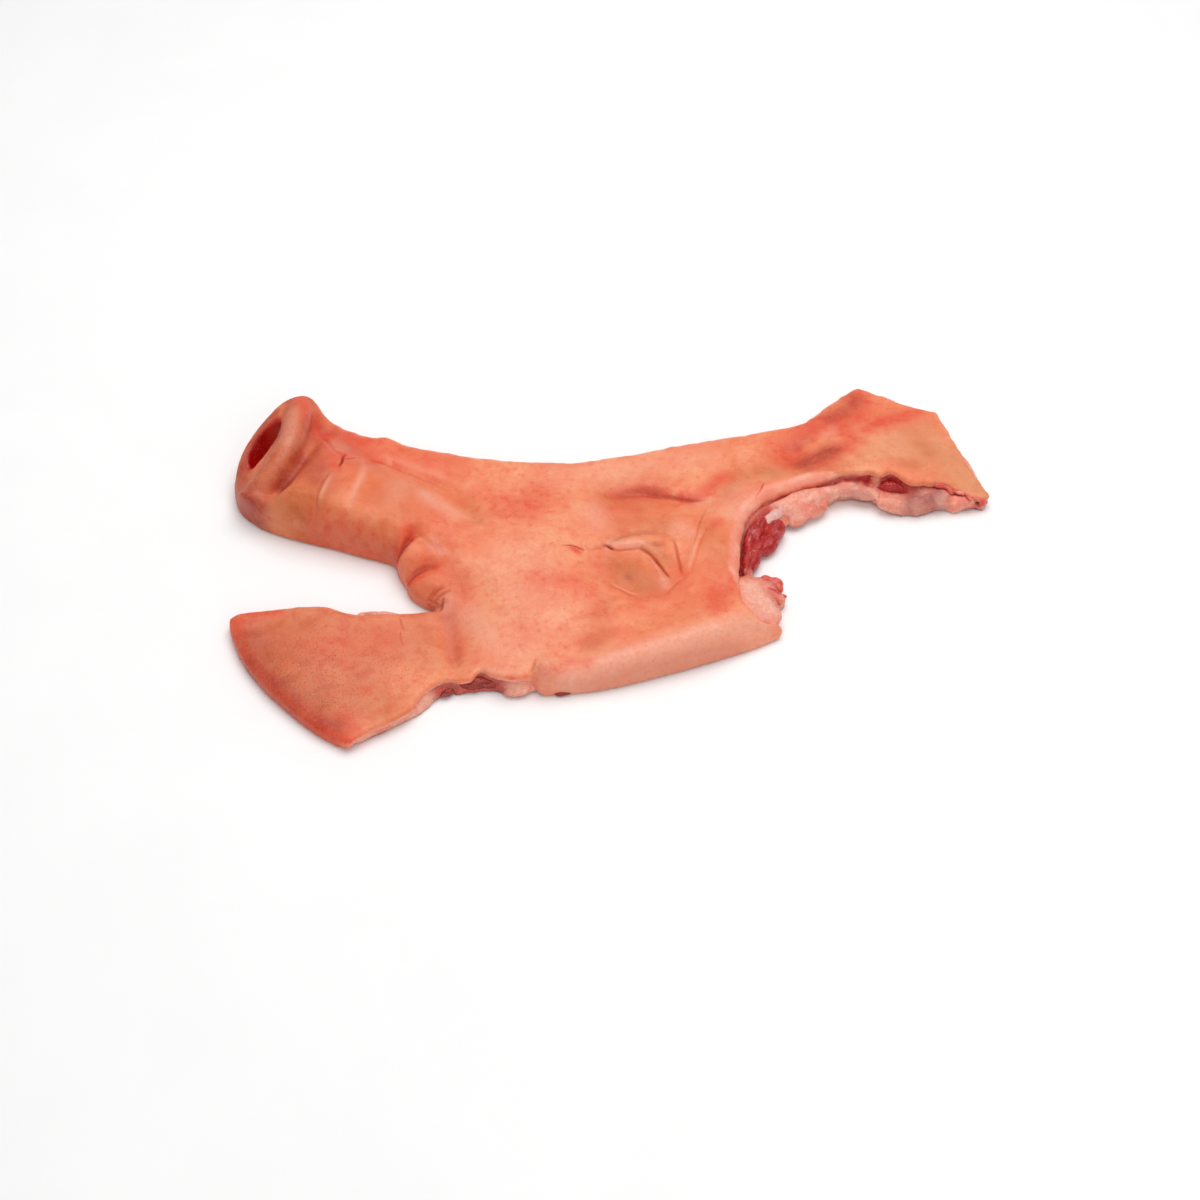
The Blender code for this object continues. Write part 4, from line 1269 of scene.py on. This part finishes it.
def skin_material():
    """Mottled skin with its stains and painted shade and light, pores, stubble, painted shade in its creases,
    and the fat along its cut edges.
    """
    material, tree, shader, where = start_material("pork_skin", 0.42, 0.22, 2.4)
    broad = use(tree, MOTTLING, where, Scale=grid_scale(26), Low=0.38, High=0.66)
    middling = use(tree, MOTTLING, where, Scale=grid_scale(8), Low=0.42, High=0.70)
    small = use(tree, MOTTLING, where, Scale=grid_scale(2.2), Low=0.35, High=0.75)
    grain = use(tree, MOTTLING, where, Scale=grid_scale(0.8), Low=0.2, High=0.8)
    colour = blend(tree, broad, PALE_SKIN, WARM_SKIN)
    colour = blend(tree, times(tree, middling, 0.55), colour, ORANGE_SKIN)
    blotchy = calculate(tree, "ADD", times(tree, middling, 0.3), 0.7)
    for name, stain in STAIN_COLOURS.items():
        amount = times(tree, mark(tree, name), STAIN_STRENGTH)
        colour = blend(tree, times(tree, amount, blotchy), colour, stain)
    freckle = use(tree, MOTTLING, where, Scale=grid_scale(4), Low=0.54, High=0.7)
    reddened = calculate(tree, "ADD", times(tree, mark(tree, "red"), 0.5), 0.2)
    colour = blend(tree, times(tree, freckle, reddened), colour, RED_SKIN)
    colour = blend(tree, times(tree, small, 0.26), colour, ORANGE_SKIN)
    colour = blend(tree, times(tree, grain, 0.12), colour, PALE_SKIN)
    pores = use(tree, PORES, where, Scale=grid_scale(4), Size=0.12, Share=0.3)
    hairs = use(tree, PORES, where, Scale=grid_scale(1.3), Size=0.3, Share=0.85)
    hairs = times(tree, hairs, mark(tree, "stubble"))
    dots = calculate(tree, "MAXIMUM", times(tree, pores, 0.7), hairs)
    colour = blend(tree, times(tree, dots, 0.65), colour, PORE_COLOUR)
    # painted shade in the creases, and paler lines where the amount is below 0
    crease = mark(tree, "crease")
    colour = blend(tree, crease, colour, CREASE_SHADE_COLOUR)
    colour = blend(tree, times(tree, crease, -1.0), colour, BLANCHED_AND_LIT_SKIN)
    fat = blend(tree, middling, FAT_COLOUR, PALE_FAT)
    colour = blend(tree, mark(tree, "cut"), colour, fat)
    colour = blend(tree, mark(tree, "dish"), colour, DISH_COLOUR)
    # the nostril's hole, painted darker as shade
    colour = blend(tree, mark(tree, "hollow"), colour, HOLLOW_RED_AND_SHADE)
    tree.links.new(colour, shader.inputs["Base Color"])
    wet = calculate(tree, "MAXIMUM", times(tree, mark(tree, "cut"), 0.6), mark(tree, "dish"))
    satin = calculate(tree, "ADD", times(tree, small, 0.14), 0.36)
    gloss = calculate(tree, "SUBTRACT", satin, times(tree, wet, 0.22))
    tree.links.new(gloss, shader.inputs["Roughness"])
    fine = use(tree, MOTTLING, where, Scale=grid_scale(1.1), Low=0.2, High=0.8)
    raise_by(tree, shader, (small, 0.08), (fine, 0.06), (dots, -0.12))
    return material


def flesh_material():
    """Fat with pale, bluish and lean places, and painted shade in the gaps under the skin's edge."""
    material, tree, shader, where = start_material("pork_fat", 0.33, 0.25, 2.0)
    broad = use(tree, MOTTLING, where, Scale=grid_scale(9), Low=0.4, High=0.62)
    small = use(tree, MOTTLING, where, Scale=grid_scale(2.4), Low=0.35, High=0.7)
    strands = use(tree, FIBRES, where, Scale=grid_scale(1.6))
    colour = blend(tree, broad, FAT_COLOUR, PALE_FAT)
    colour = blend(tree, mark(tree, "pale"), colour, PALE_FAT)
    colour = blend(tree, mark(tree, "blue"), colour, BLUE_FAT)
    colour = blend(tree, times(tree, small, 0.2), colour, BRIGHT_LEAN)
    lean = blend(tree, strands, LEAN_COLOUR, BRIGHT_LEAN)
    # the muscle mark also carries painted shade in the gaps under the skin's edge
    colour = blend(tree, mark(tree, "muscle"), colour, lean)
    tree.links.new(colour, shader.inputs["Base Color"])
    gloss = calculate(tree, "ADD", times(tree, small, 0.2), 0.22)
    tree.links.new(gloss, shader.inputs["Roughness"])
    raise_by(tree, shader, (broad, 0.3), (strands, 0.14), (small, 0.3))
    return material


def lean_material(name, dark, bright, turn, marbling):
    """Muscle whose fibres run at turn degrees from X, with fat between them in a share of marbling."""
    material, tree, shader, where = start_material(name, 0.26, 0.1, 1.2)
    rotation = (0, 0, math.radians(-turn))
    turned = add(tree, "ShaderNodeMapping", Vector=where, Rotation=rotation).outputs["Vector"]
    strands = use(tree, FIBRES, turned, Scale=grid_scale(1.1))
    patches = use(tree, MOTTLING, where, Scale=grid_scale(5), Low=0.4, High=0.62)
    colour = blend(tree, times(tree, strands, 0.6), dark, bright)
    colour = blend(tree, times(tree, patches, 0.6), colour, bright)
    drawn = add(tree, "ShaderNodeMapping", Vector=turned, Scale=(0.35, 1, 1)).outputs["Vector"]
    film = use(tree, MOTTLING, drawn, Scale=grid_scale(3), Low=0.57, High=0.66)
    colour = blend(tree, times(tree, film, marbling), colour, PALE_FAT)
    tree.links.new(colour, shader.inputs["Base Color"])
    gloss = calculate(tree, "ADD", times(tree, patches, 0.2), 0.14)
    tree.links.new(gloss, shader.inputs["Roughness"])
    raise_by(tree, shader, (strands, 0.14), (patches, 0.2))
    return material


def floor_material():
    """Plain white paper."""
    material, tree, shader, where = start_material("studio_paper", 0.9, 0.0, 1.0)
    cloud = use(tree, MOTTLING, where, Scale=grid_scale(60), Low=0.3, High=0.7)
    tree.links.new(blend(tree, cloud, *FLOOR_SHADES), shader.inputs["Base Color"])
    return material


# Studio, in metres
CAMERA_TILT = math.radians(47)
CAMERA_DISTANCE = 1.020
CAMERA_TARGET = (Vector((-6.1, -17.4, 0)) - BOARD_MIDDLE) * MM
LENS = 60.0
SENSOR = 36.0
FLOOR_SIZE = 6.0
LIGHTS = {  # place, size, power
    "overhead": ((0.1, 0.35, 1.3), 1.2, 12.5),
    "front": ((0.4, -1.1, 0.8), 1.0, 3.5),
}
SKY_LIGHT = 0.48


def make_camera():
    back = Vector((0, -math.cos(CAMERA_TILT), math.sin(CAMERA_TILT)))
    place_m = CAMERA_TARGET + back * CAMERA_DISTANCE
    bpy.ops.object.camera_add(location=place_m, rotation=(math.pi / 2 - CAMERA_TILT, 0, 0))
    camera = bpy.context.object
    camera.data.lens = LENS
    camera.data.sensor_width = SENSOR
    camera.data.clip_start = 0.01
    bpy.context.scene.camera = camera


def area_light(name, place_m, size, power):
    """A square light that shines at the middle of the mask."""
    bpy.ops.object.light_add(type="AREA", location=place_m)
    light = bpy.context.object
    light.name = name
    light.data.shape = "SQUARE"
    light.data.size = size
    light.data.energy = power
    light.rotation_euler = (-Vector(place_m)).to_track_quat("-Z", "Y").to_euler()


def make_studio():
    """A pale floor, two soft lights and light from all round."""
    bpy.ops.mesh.primitive_plane_add(size=FLOOR_SIZE)
    floor = bpy.context.object
    floor.name = "floor"
    floor.data.materials.append(floor_material())
    world = bpy.data.worlds.new("studio")
    world.use_nodes = True
    sky = world.node_tree.nodes["Background"]
    sky.inputs["Color"].default_value = (1, 1, 1, 1)
    sky.inputs["Strength"].default_value = SKY_LIGHT
    bpy.context.scene.world = world
    for name, light in LIGHTS.items():
        area_light(name, *light)
    bpy.context.scene.view_settings.view_transform = "Standard"


def build():
    make_camera()
    make_studio()
    make_skin(skin_material())
    make_flesh(flesh_material())
    looks = {name: lean_material(name, *look) for name, look in LEAN_LOOKS.items()}
    for name, parts, grain, fibre, look in TORN_PIECES:
        make_lobes(name, parts, grain, fibre, looks[look])


build()
